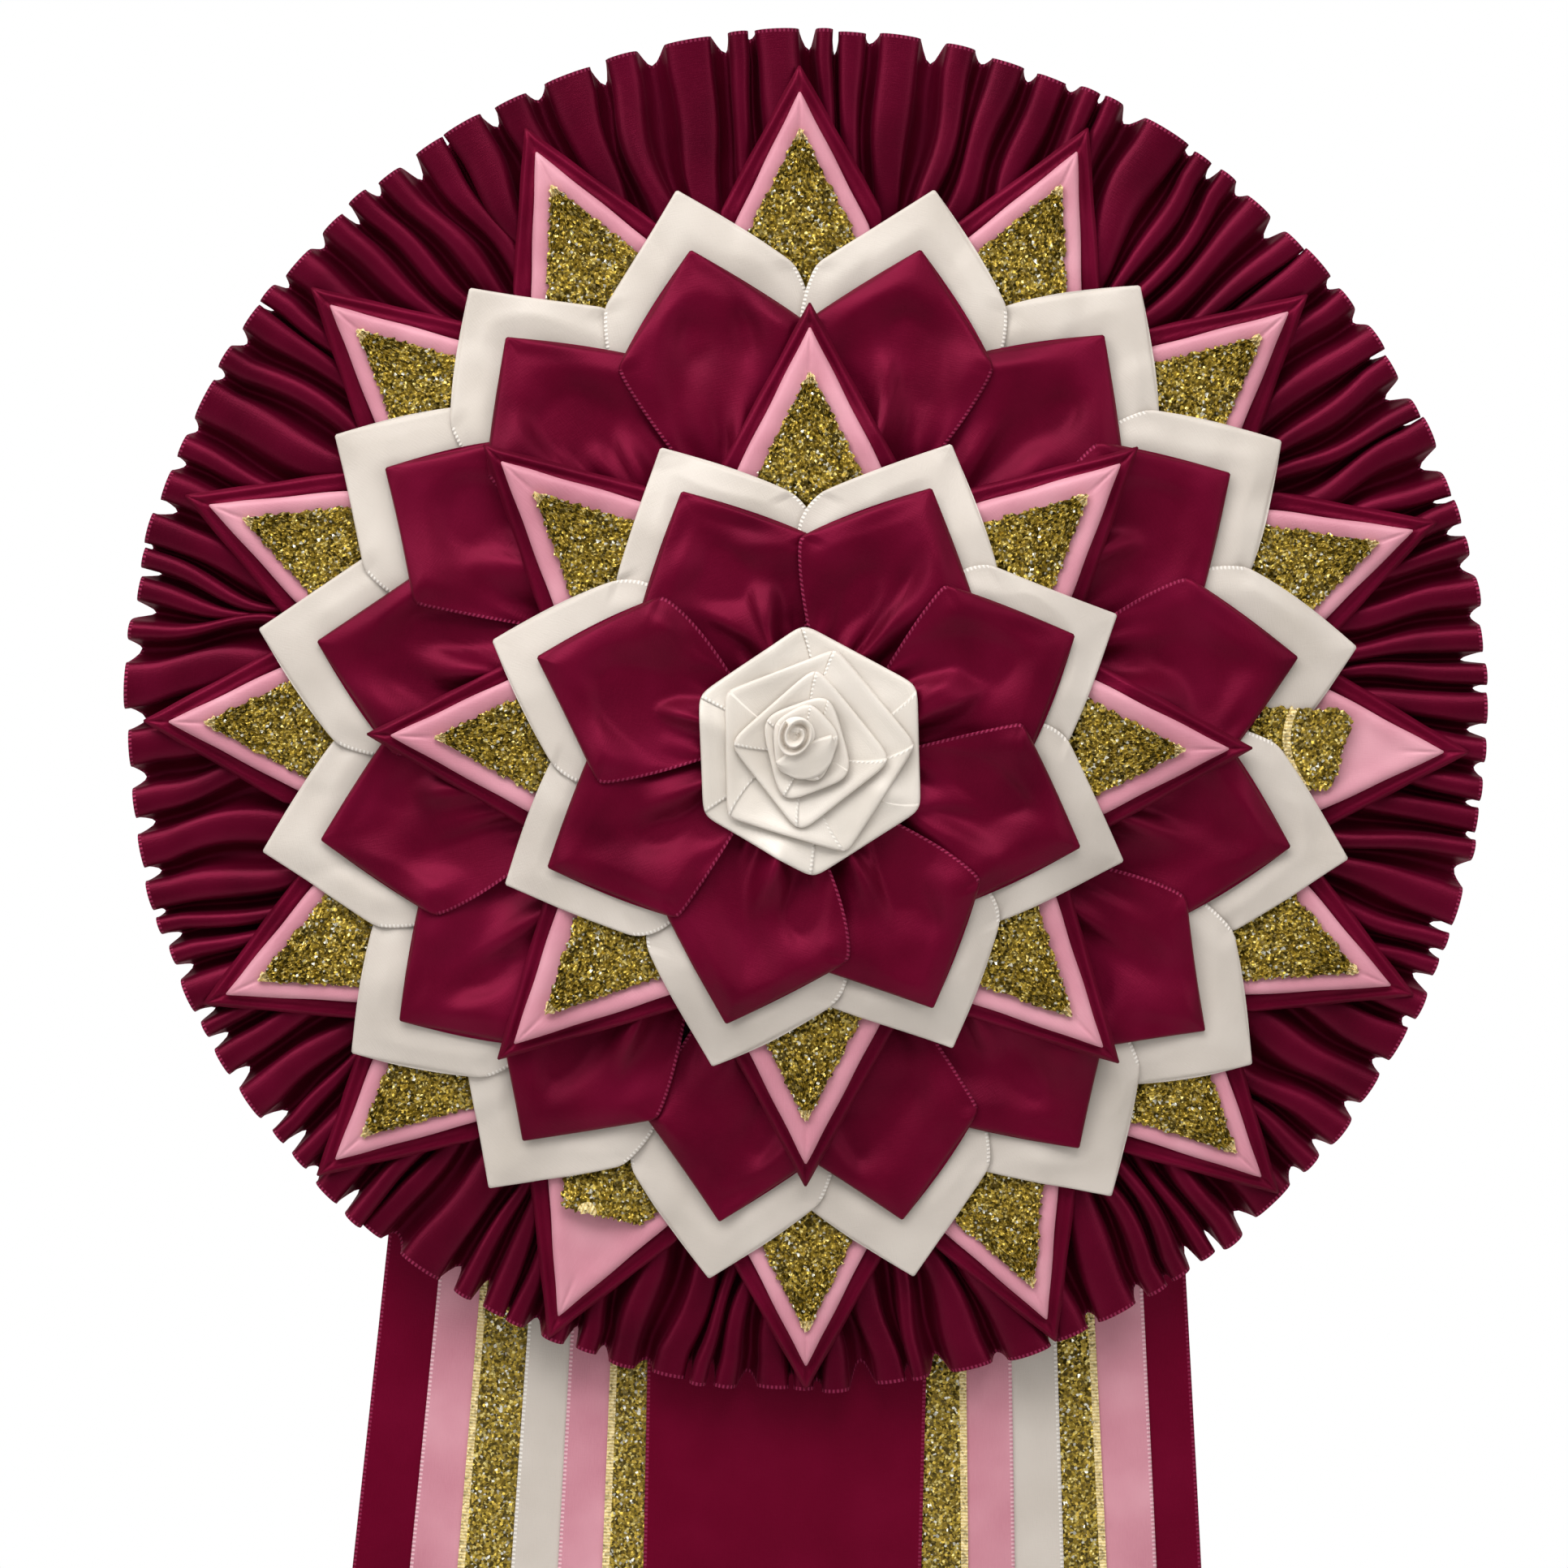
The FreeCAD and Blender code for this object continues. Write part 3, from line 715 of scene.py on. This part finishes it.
def ring_of_points(tier, colour, shoulder, half_angle, profile, seed):
    """The points of one colour round a tier."""
    random = np.random.default_rng(seed)
    node = f"{tier}_points_{colour}"
    spots = spots_of(node, tier, POINT_FOOT)
    cloth = Cloth()
    for spot in spots:
        point(cloth, spot, shoulder, half_angle, rear(node), profile, random)
    cloth.build(f"{tier}_point_folds_{colour}", node, SATIN[colour], colour + "_satin",
                POINT_CUT * spots[0].length * len(spots), "folded", "ruffle_cloth")


# ---- gold cloth ----
POINT_SLOPE = math.tan(math.radians(27))  # of a gold point's sides
FLAKE = 0.68  # the spacing of the tinsel's bumps
GOLD_SEEN = 38.0  # the length of a point with these fine bumps; the rest is under the petals
HIDDEN_STEP = 3  # the spacing there


def pale_tip(across, down):
    """The woven selvedge at a point's very tip. Each of these three is 0 in the middle of the pale part."""
    return np.maximum(down - 1.2, 0) / 4


def pale_arc(across, down):
    """A curved strip of selvedge that crosses the cut gold a little way in."""
    return np.abs(down - 15.9 + 0.032 * (across + 3.2) ** 2) / 2.1


def pale_curl(across, down):
    """The turned-up corner of selvedge at the cut end."""
    return np.hypot(across - 4, down - 0.5) / 5


def gold_point(cloth, spot, shoulder, cut, slant, curl, pale, floor, random):
    """One cut point of tinsel cloth, rough all over, with frayed edges. A cut moves its tip back."""
    length = spot.length
    wide = shoulder * POINT_SLOPE
    cols = int(2 * wide / FLAKE) | 1
    seen = np.arange(cut + 0.7, min(cut + GOLD_SEEN, length - 6), FLAKE)
    under = np.linspace(seen[-1] + HIDDEN_STEP, length, max(int((length - seen[-1]) / HIDDEN_STEP), 2))
    down = np.concatenate([seen, under])[:, None]
    rows = len(down)
    q = np.clip((down - shoulder) / max(length - shoulder, 1), 0, 1)
    half = np.minimum(down * POINT_SLOPE, wide - (wide - POINT_FOOT) * q)
    u = np.linspace(-1, 1, cols)[None, :]
    across = u * half
    down = np.broadcast_to(down, across.shape).copy()
    fade = np.exp(-(down - cut) / 6)
    down += slant * u * fade
    ragged = random.uniform(-0.55, 0.75, (rows, 2))
    across[:, 0] -= ragged[:, 0]
    across[:, -1] += ragged[:, 1]
    across[:, 1:-1] += random.uniform(-0.2, 0.2, (rows, cols - 2))
    down[0] += random.uniform(-0.6, 0.6, cols)
    x, z = spot.on_head(across, down)
    lift = curl * np.exp(-((down - cut) / 4.5) ** 2 - ((across - 3) / 9) ** 2)
    base = np.maximum(resting(x, z, 6, 120), floor) + 0.2 + lift
    depth = base + 0.55 + random.uniform(-0.34, 0.42, across.shape)
    depth[:, 0] = base[:, 0] + 0.3
    depth[:, -1] = base[:, -1] + 0.3
    depth[0] = base[0] + 0.35
    weave = np.stack([down, across], -1)
    rim = np.stack([across, pale(across, down - cut)], -1)
    cloth.lay(x, depth, z, np.maximum(depth - base, 0.12) + 0.1, weave, rim)


def gold_ring(tier, shoulder, seed):
    """The whole gold points of a tier. Gives back the first one's spot."""
    random = np.random.default_rng(seed)
    node = tier + "_points_gold"
    spots = spots_of(node, tier, POINT_FOOT)
    cloth = Cloth()
    for spot in spots:
        gold_point(cloth, spot, shoulder, 0.0, 0.0, 0.0, pale_tip, rear(node), random)
    cloth.build(tier + "_point_folds_gold", node, GOLD, "gold_glitter",
                spots[0].length * GOLD_CUT * len(spots), "laid", tier + "_point_folds_pink", smooth=False)
    return spots[0]


def odd_gold(name, node, whole, shoulder, slant, curl, pale, share, seed):
    """A gold point whose tip was cut off or turned up, where the frame's own node ends. The rest is as on a
    whole one. The share, its ribbon's length over the length that's left, is not used."""
    random = np.random.default_rng(seed)
    places = corners(node)
    dx, dz = places[:, 0] - whole.centre[0], places[:, 2] - whole.centre[1]
    angle = math.atan2(dx.mean(), dz.mean())
    outermost = np.max(dx * math.sin(angle) + dz * math.cos(angle))
    cloth = Cloth()
    spot = Spot(whole.centre, angle, whole.tip, whole.foot)
    gold_point(cloth, spot, shoulder, whole.tip - outermost, slant, curl, pale, rear(node), random)
    cloth.build(name, node, GOLD, "gold_glitter", (outermost - whole.foot) * share, "laid",
                "outer_point_folds_pink", smooth=False)


# ---- rings of petals ----
# ridge and sunk: heights along the folds and in the middle; width: of the ridge; flare: of the sides
PETAL_STYLE = {
    "ivory": {"ridge": 2.2, "sunk": 1.2, "width": 6.5, "rise": 1.0, "creases": 2, "strength": 0.9,
              "dimples": 0, "hollow": 0.0, "pinch": (1.8, 2.6), "flare": 3.0},
    "burgundy": {"ridge": 2.8, "sunk": 0.2, "width": 6.0, "rise": 0.6, "creases": 3, "strength": 3.8,
                 "dimples": 2, "hollow": 3.4, "pinch": (1.0, 1.6), "flare": 0.0}}
OUTER_FIRST, INNER_FIRST = 20, 315  # the clockwise angles, in degrees, where laying starts
PETAL_GAP = 0.4  # a petal starts this far in front of its node's rear


def petal_ring(colour, foot_half, seed, under, tucked=None):
    """The outer petals of one colour, laid clockwise. What is tucked in goes on just before the first petal
    past 90 degrees."""
    random = np.random.default_rng(seed)
    node = "outer_petals_" + colour
    spots = sorted(spots_of(node, "outer", foot_half), key=lambda spot: spot.order(OUTER_FIRST))
    cloth = Cloth()
    for spot in spots:
        if tucked and spot.angle > math.pi / 2:
            tucked()
            tucked = None
        petal(cloth, spot, foot_half, rear(node) + PETAL_GAP, PETAL_STYLE[colour], random)
    cloth.build("outer_petal_folds_" + colour, node, SATIN[colour], colour + "_satin",
                PETAL_CUT * len(spots), "folded", under)


def inner_petals(colour, foot_half, seed, under):
    """The eight inner petals of one colour, each its own piece, laid clockwise."""
    random = np.random.default_rng(seed)
    nodes = [f"inner_petal_{colour}_{number}" for number in range(1, 9)]
    pairs = [(spots_of(node, "inner", foot_half)[0], node) for node in nodes]
    for spot, node in sorted(pairs, key=lambda pair: pair[0].order(INNER_FIRST)):
        cloth = Cloth()
        petal(cloth, spot, foot_half, rear(node) + PETAL_GAP, PETAL_STYLE[colour], random, 60, 61)
        cloth.build(node.replace("petal", "petal_fold"), node, SATIN[colour], colour + "_satin", PETAL_CUT,
                    "folded", under)


# ---- rose ----
# each round: sides, reach, turn, sharpness of its corners, reach across, middle
ROSE_ROUNDS = ((6, 32.2, -3.0, 26, 1.0, (0.0, 0.0)), (5, 27.6, 17.0, 24, 0.97, (0.2, 0.0)),
               (4, 21.6, 6.0, 9, 0.98, (-0.2, 0.4)), (4, 16.2, 30.0, 4.5, 0.84, (-0.9, 1.2)),
               (5, 11.2, 10.0, 6, 0.86, (-1.4, 2.4)))
ROUND_DEPTH = 15.0  # how far a round's ribbon goes in under the next one
ROSE_CUT = 470.0  # the length of ribbon wound into the rose, folded double along its length
BUD_PLACE = (-3.4, 4.6)  # the bud sits off the middle, up and to the left
BUD_TURNS = 1.8


def rounded_polygon(angle, corners_at, sharp):
    """The distance from the middle to the edge of a polygon of reach 1, with corners as sharp as this."""
    facing = (corners_at + np.append(corners_at[1:], corners_at[0] + 2 * math.pi)) / 2
    apart = np.cos(math.pi / len(corners_at))
    pull = sum(np.clip(np.cos(angle - f), 0, 1) ** sharp for f in facing)
    return apart / pull ** (1 / sharp)


def folded_round(cloth, centre, sides, reach, turn, sharp, narrow, random):
    """One round of the rose's ribbon: its folded edge is outside, and it lies flat between its corners. At
    each corner the next fold starts on top of the last one, and its selvedge shows."""
    rows, cols = 20, 34
    corners_at = np.radians(turn + 360 / sides * (np.arange(sides) + random.uniform(-0.06, 0.06, sides)))
    ends = np.append(corners_at, corners_at[0] + 2 * math.pi)
    seam = random.uniform(0.25, 0.6, sides) * (random.uniform(0, 1, sides) < 0.75)
    slant = np.append(random.uniform(-0.15, 0.35, sides), 0)
    slant[-1] = slant[0]
    v = (np.linspace(0, 1, rows) ** 1.4)[:, None]
    inward = min(ROUND_DEPTH, 0.72 * reach) * v
    u = (spread(cols, 1.25) / 2 + 0.5)[None, :]
    angles, starts, tops = [], [], []
    for k in range(sides):
        first = ends[k] + slant[k] * inward / reach * 2
        last = ends[k + 1] + slant[k + 1] * inward / reach * 2
        angles.append(first + (last - first) * u)
        long = (last - first) * reach
        starts.append(np.where(seam[k] > 0, u * long, NO_RIM) + 0 * v)
        tops.append(seam[k] * (1 - u) + 0 * v)
    angle, from_start, top = (np.concatenate(g, 1) for g in (angles, starts, tops))
    r = reach * rounded_polygon(angle, corners_at, sharp) * (1 - inward / reach)
    x = centre[0] + narrow * r * np.sin(angle)
    z = centre[1] + r * np.cos(angle)
    inward = np.broadcast_to(inward, angle.shape)
    edge = rounded(inward, 0.8)
    fold = np.abs(np.sin((angle - corners_at[0]) * sides / 2))
    shape = 0.6 * edge + 0.22 * hump(inward, 1.6, 1.6) - 0.3 * smooth_step((inward - 2) / 5) * fold
    base = resting(x, z, 3, 60) + 0.1
    depth = base + 0.25 + shape + top * edge
    weave = np.stack([angle * reach, inward], -1)
    cloth.lay(x, depth, z, np.maximum(depth - base, 0.2) + 0.15, weave, np.stack([inward, from_start], -1))


def lower_fold(cloth, centre):
    """The flat fold that crosses the innermost round just below the bud."""
    a, b = (centre[0] - 7.4, centre[1] - 4.6), (centre[0] + 6.8, centre[1] + 2.2)
    long = math.dist(a, b)
    ax, az = (b[0] - a[0]) / long, (b[1] - a[1]) / long
    v = (np.linspace(0, 1, 16) ** 1.4)[:, None]
    u = np.linspace(0, 1, 26)[None, :]
    bow = 0.9 * np.sin(math.pi * u)
    inward = 8.0 * v * np.sqrt(np.clip(1 - (2 * u - 1) ** 2, 0.04, 1)) - bow * (1 - v)
    x, z = a[0] + u * long * ax + inward * az, a[1] + u * long * az - inward * ax
    from_edge = inward + bow * (1 - v)
    edge = rounded(from_edge, 0.7)
    base = resting(x, z, 2, 20) + 0.05
    depth = base + 0.15 + 1.0 * edge * (1 - smooth_step((v - 0.35) / 0.65)) + 0 * u
    weave = np.stack(np.broadcast_arrays(u * long, inward), -1)
    cloth.lay(x, depth, z, depth - base + 0.1, weave, plain_rim(weave[..., 0]))


def bud(cloth, centre, floor):
    """The tight roll at the rose's middle: a ribbon on its edge that opens outwards, over a small dome."""
    steps, ring = 150, 16
    turn = np.linspace(0, BUD_TURNS * 2 * math.pi, steps)[:, None]
    share = turn / turn.max()
    reach = 0.8 + 3.7 * share ** 0.85
    wall = np.linspace(0, 2 * math.pi, ring + 1)[None, :]
    up = (1.3 + 0.5 * (1 - share)) * np.sign(np.sin(wall)) * np.abs(np.sin(wall)) ** 0.6
    r = reach + 0.45 * np.cos(wall) + 0.35 * up
    long_way, short_way = r * np.cos(turn) * 1.2, r * np.sin(turn) * 0.9
    tilt = math.radians(28)
    x = centre[0] + short_way * math.cos(tilt) + long_way * math.sin(tilt)
    z = centre[1] - short_way * math.sin(tilt) + long_way * math.cos(tilt)
    depth = floor + 1.4 + up + 0.9 * (1 - share) + np.zeros_like(x)
    weave = np.stack(np.broadcast_arrays(turn * 4, np.linspace(0, 8, ring + 1)[None, :]), -1)
    cloth.sheet(x, depth, z, weave, plain_rim(weave[..., 0]))
    out = np.linspace(0.02, 1, 12)[:, None]
    way = np.linspace(0, 2 * math.pi, 41)[None, :]
    x, z = centre[0] + 4.6 * out * np.sin(way), centre[1] + 4.6 * out * np.cos(way)
    dome = floor + 1.7 * np.sqrt(1 - 0.95 * out ** 2) + 0.3 * np.sin(way + 6 * out)
    weave = np.stack(np.broadcast_arrays(out * 5, way * 3), -1)
    cloth.sheet(x, dome, z, weave, plain_rim(weave[..., 0]))


def rose():
    """The rounds from the outside in, each laid on the last, then the bud on top."""
    random = np.random.default_rng(8)
    cx, cz = middle("rose")
    cloth = Cloth()
    for sides, reach, turn, sharp, narrow, shift in ROSE_ROUNDS:
        folded_round(cloth, (cx + shift[0], cz + shift[1]), sides, reach, turn, sharp, narrow, random)
    lower_fold(cloth, (cx + ROSE_ROUNDS[-1][5][0], cz + ROSE_ROUNDS[-1][5][1]))
    bx, bz = cx + BUD_PLACE[0], cz + BUD_PLACE[1]
    floor = float(resting(np.array([[bx, bx]]), np.array([[bz, bz]]), 2, 5).max())
    bud(cloth, (bx, bz), floor - 0.6)
    cloth.build("ribbon_rose", "rose", LIT_ROSE_IVORY, "ivory_satin", ROSE_CUT, "folded", "rose_pad",
                width=RIBBON / 2)


# ---- streamers ----
STREAMER_THICK = 0.26


def sway(x, down):
    """The gentle wave that all the hanging ribbons share, so that no layer cuts the next. It keeps behind
    the base card."""
    grow = smooth_step(down / 220)
    bands = 0.8 * smooth_step(down / 60) * np.sin(x / 6.5 + 0.9 * np.sin(down / 70))
    behind_card = 0.9 * smooth_step(down / 16)
    return grow * (1.3 * np.sin(down / 62 + x / 95) + 0.7 * np.sin(down / 31 - x / 60)) + bands - behind_card


def strip(cloth, top, foot, half, depth, forked, random, rows, cols, gold, outer_side):
    """One ribbon from its top middle to its foot middle. A forked one sways; the glued ones are flat."""
    long = math.dist(top, foot)
    dx, dz = (foot[0] - top[0]) / long, (foot[1] - top[1]) / long
    u = spread(cols, 1.25)[None, :] if not gold else np.linspace(-1, 1, cols)[None, :]
    cut = forked * 2 * half * (1 - np.abs(u))
    down = np.linspace(0, 1, rows)[:, None] * (long - cut)
    across = np.broadcast_to(u * half, down.shape)
    x = top[0] + down * dx - across * dz
    z = top[1] + down * dz + across * dx
    y = depth + (sway(x, top[1] - z) if forked else 0 * x)
    y = y + 0.05 * np.exp(-((half - np.abs(across)) / 0.5) ** 2)
    if gold:
        y = y + random.uniform(-0.05, 0.05, y.shape)
    from_edge = half - across * outer_side if gold else half - np.abs(across)
    weave = np.stack([down, across], -1)
    cloth.form(x, y, z, np.full(x.shape, STREAMER_THICK), weave, np.stack([down, from_edge], -1))


def strip_ends(node):
    """The middles of the top and foot of a strip of the frame, its width and its mid depth."""
    spots = corners(node)
    high = spots[spots[:, 2] > spots[:, 2].max() - 0.2]
    low = spots[spots[:, 2] < spots[:, 2].min() + 0.5 * (high[:, 0].max() - high[:, 0].min())]
    top = ((high[:, 0].min() + high[:, 0].max()) / 2, spots[:, 2].max())
    foot = ((low[:, 0].min() + low[:, 0].max()) / 2, (low[:, 2].min() + low[:, 2].max()) / 2)
    lean = math.atan2(foot[0] - top[0], top[1] - foot[1])
    width = (high[:, 0].max() - high[:, 0].min()) * math.cos(lean)
    return top, foot, width, (spots[:, 1].min() + spots[:, 1].max()) / 2


STREAMER_MATERIAL = {"burgundy": LIT_TAIL_BURGUNDY, "pink": PINK, "ivory": IVORY, "gold": GOLD_RIBBON}
FORK = 0.42  # the depth of the forked cut, as a share of the width


def streamers():
    """The hanging ribbons, each on its own body, and the glued ends that carry on above them."""
    random = np.random.default_rng(21)
    ends = {}
    for body, members in frame["record"]["behaviour"]["bodies"].items():
        for node in members:
            if not node.startswith("streamer_") or "ends" in node:
                continue
            centre = "centre" in node
            colour = "burgundy" if centre else next(word for word in STREAMER_MATERIAL if word in node)
            top, foot, width, depth = strip_ends(node)
            gold = colour == "gold"
            slot = "gold_glitter" if gold else colour + "_satin"
            rows, cols = (560, 41) if gold else (130, 41 if width > 40 else 19)
            side = -1.0 if foot[0] < 0 else 1.0
            cloth = Cloth()
            face = depth + STREAMER_THICK / 2
            strip(cloth, top, foot, width / 2, face, FORK, random, rows, cols, gold, side)
            piece = cloth.build(node + "_ribbon", node, STREAMER_MATERIAL[colour], slot, math.dist(top, foot),
                                "hung", "spacer_card", None if centre else body, not gold, width)
            if centre:
                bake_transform(piece)

            glued, areas = ends.setdefault((colour, slot), (Cloth(), []))
            above = corners("streamer_ends_" + colour)[:, 2].max() - top[1]
            lean = (foot[0] - top[0]) / (top[1] - foot[1])
            high = (top[0] - above * lean, top[1] + above)
            strip(glued, high, top, width / 2, face, 0.0, random, 60, cols, gold, side)
            areas.append(width * math.dist(high, top))
    for (colour, slot), (glued, areas) in ends.items():
        node = "streamer_ends_" + colour
        glued.build(node + "_ribbon", node, STREAMER_MATERIAL[colour], slot, sum(areas) / RIBBON, "laid",
                    "spacer_card", smooth=colour != "gold")


# ---- plain pieces of the frame ----
def finish_frame_pieces():
    """New materials on the CAD nodes that keep their own shape."""
    words = (("card", CARD), ("disc", FELT), ("rose_pad", FELT), ("pin_", STEEL), ("catch", STEEL))
    for name, node in frame["nodes"].items():
        for word, material in words:
            if word in name and not node.hide_render:
                node.data.materials.clear()
                node.data.materials.append(material)
                break


# ---- studio ----
CAMERA_DISTANCE = 1000.0
VIEW_WIDTH = 414.0  # what the picture spans at the depth of the petals
VIEW_MIDDLE = (-5.8, -17.6)  # the picture's middle, from the ruffle's middle
PETAL_DEPTH = 10.0
TILT = 4.0  # the camera looks down by this many degrees
FLOOR_GAP = 0.03  # from the streamers' ends down to the floor, in metres
FLOOR_SIDE = 1.8  # in metres
SURROUND_LIGHT = 0.34  # what the surround gives the object; the camera sees it as full white


def camera():
    data = bpy.data.cameras.new("camera")
    data.sensor_width = 36.0
    data.lens = data.sensor_width * CAMERA_DISTANCE / VIEW_WIDTH
    data.clip_end = 20.0
    eye = new_object("camera", data)
    target = Vector((HEAD_X + VIEW_MIDDLE[0], REAR_Y - PETAL_DEPTH, HEAD_Z + VIEW_MIDDLE[1])) * MM
    back = Vector((0, -math.cos(math.radians(TILT)), math.sin(math.radians(TILT))))
    eye.location = target + back * CAMERA_DISTANCE * MM
    eye.rotation_euler = (math.radians(90 - TILT), 0, 0)
    bpy.context.scene.camera = eye


def lamp(name, place, aim, size, power):
    data = bpy.data.lights.new(name, "AREA")
    data.shape = "RECTANGLE"
    data.size, data.size_y = size
    data.energy = power
    light = new_object(name, data)
    light.location = place
    light.rotation_euler = (Vector(aim) - Vector(place)).to_track_quat("-Z", "Y").to_euler()


def studio():
    """A pale floor below the streamers, a white surround, and soft lamps above."""
    scene = bpy.context.scene
    scene.view_settings.view_transform = "Standard"
    world = bpy.data.worlds.new("surround")
    world.use_nodes = True
    scene.world = world
    tree = world.node_tree
    plain, bright = tree.nodes["Background"], tree.nodes.new("ShaderNodeBackground")
    for background, strength in ((plain, SURROUND_LIGHT), (bright, 1.0)):
        background.inputs[0].default_value = (1, 1, 1, 1)
        background.inputs[1].default_value = strength
    ray, either = tree.nodes.new("ShaderNodeLightPath"), tree.nodes.new("ShaderNodeMixShader")
    tree.links.new(ray.outputs["Is Camera Ray"], either.inputs[0])
    tree.links.new(plain.outputs[0], either.inputs[1])
    tree.links.new(bright.outputs[0], either.inputs[2])
    tree.links.new(either.outputs[0], tree.nodes["World Output"].inputs[0])

    centre = (HEAD_X * MM, REAR_Y * MM, HEAD_Z * MM)
    lamp("lamp_above", (-0.25, -0.70, 0.95), centre, (1.6, 0.8), 19.0)
    lamp("lamp_left", (-1.1, -0.9, 0.5), centre, (0.6, 0.9), 5.0)
    lamp("lamp_right", (1.2, -0.9, 0.35), centre, (0.6, 0.9), 4.0)

    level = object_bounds()[0][2] - FLOOR_GAP
    mesh = bpy.data.meshes.new("floor")
    side = FLOOR_SIDE / 2
    round_about = ((-side, -side), (side, -side), (side, side), (-side, side))
    mesh.from_pydata([(x, y, level) for x, y in round_about], [], [(0, 1, 2, 3)])
    floor = new_object("floor", mesh)
    n = Nodes("floor paint")
    n.set(Base_Color=(0.86, 0.86, 0.85, 1), Roughness=0.7)
    mesh.materials.append(n.material)


# ---- the object, from the back forwards ----
GOLD_SHOULDER = 33.0  # from an outer gold point's tip down to where it is widest


def cut_short_gold():
    """The gold point at the right whose end is cut square, laid after the first petals beside it."""
    odd_gold("outer_gold_cut_short", "outer_gold_blunt", whole_gold, shoulder=20.6, slant=2.5, curl=0.5,
             pale=pale_arc, share=1.0, seed=34)


cover_disc("core_disc")
ruffle()
ring_of_points("outer", "burgundy", shoulder=38.0, half_angle=29.5, profile=double_rim, seed=31)
ring_of_points("outer", "pink", shoulder=36.0, half_angle=27.0, profile=puffed_rim, seed=32)
whole_gold = gold_ring("outer", GOLD_SHOULDER, seed=33)
odd_gold("outer_gold_turned_up", "outer_gold_curled", whole_gold, GOLD_SHOULDER, slant=-2.0, curl=3.5,
         pale=pale_curl, share=1.5, seed=35)
cover_disc("tier_disc_outer")
petal_ring("ivory", foot_half=12.0, seed=41, under="tier_disc_outer", tucked=cut_short_gold)
petal_ring("burgundy", foot_half=10.0, seed=42, under="outer_petal_folds_ivory")
cover_disc("tier_disc_middle")
ring_of_points("inner", "burgundy", shoulder=46.0, half_angle=28.5, profile=double_rim, seed=51)
ring_of_points("inner", "pink", shoulder=42.0, half_angle=27.0, profile=puffed_rim, seed=52)
gold_ring("inner", shoulder=36.0, seed=53)
cover_disc("tier_disc_inner")
inner_petals("ivory", foot_half=10.0, seed=61, under="tier_disc_inner")
inner_petals("burgundy", foot_half=5.0, seed=62, under="tier_disc_inner")
cover_disc("rose_pad")
rose()
streamers()
finish_frame_pieces()
camera()
studio()
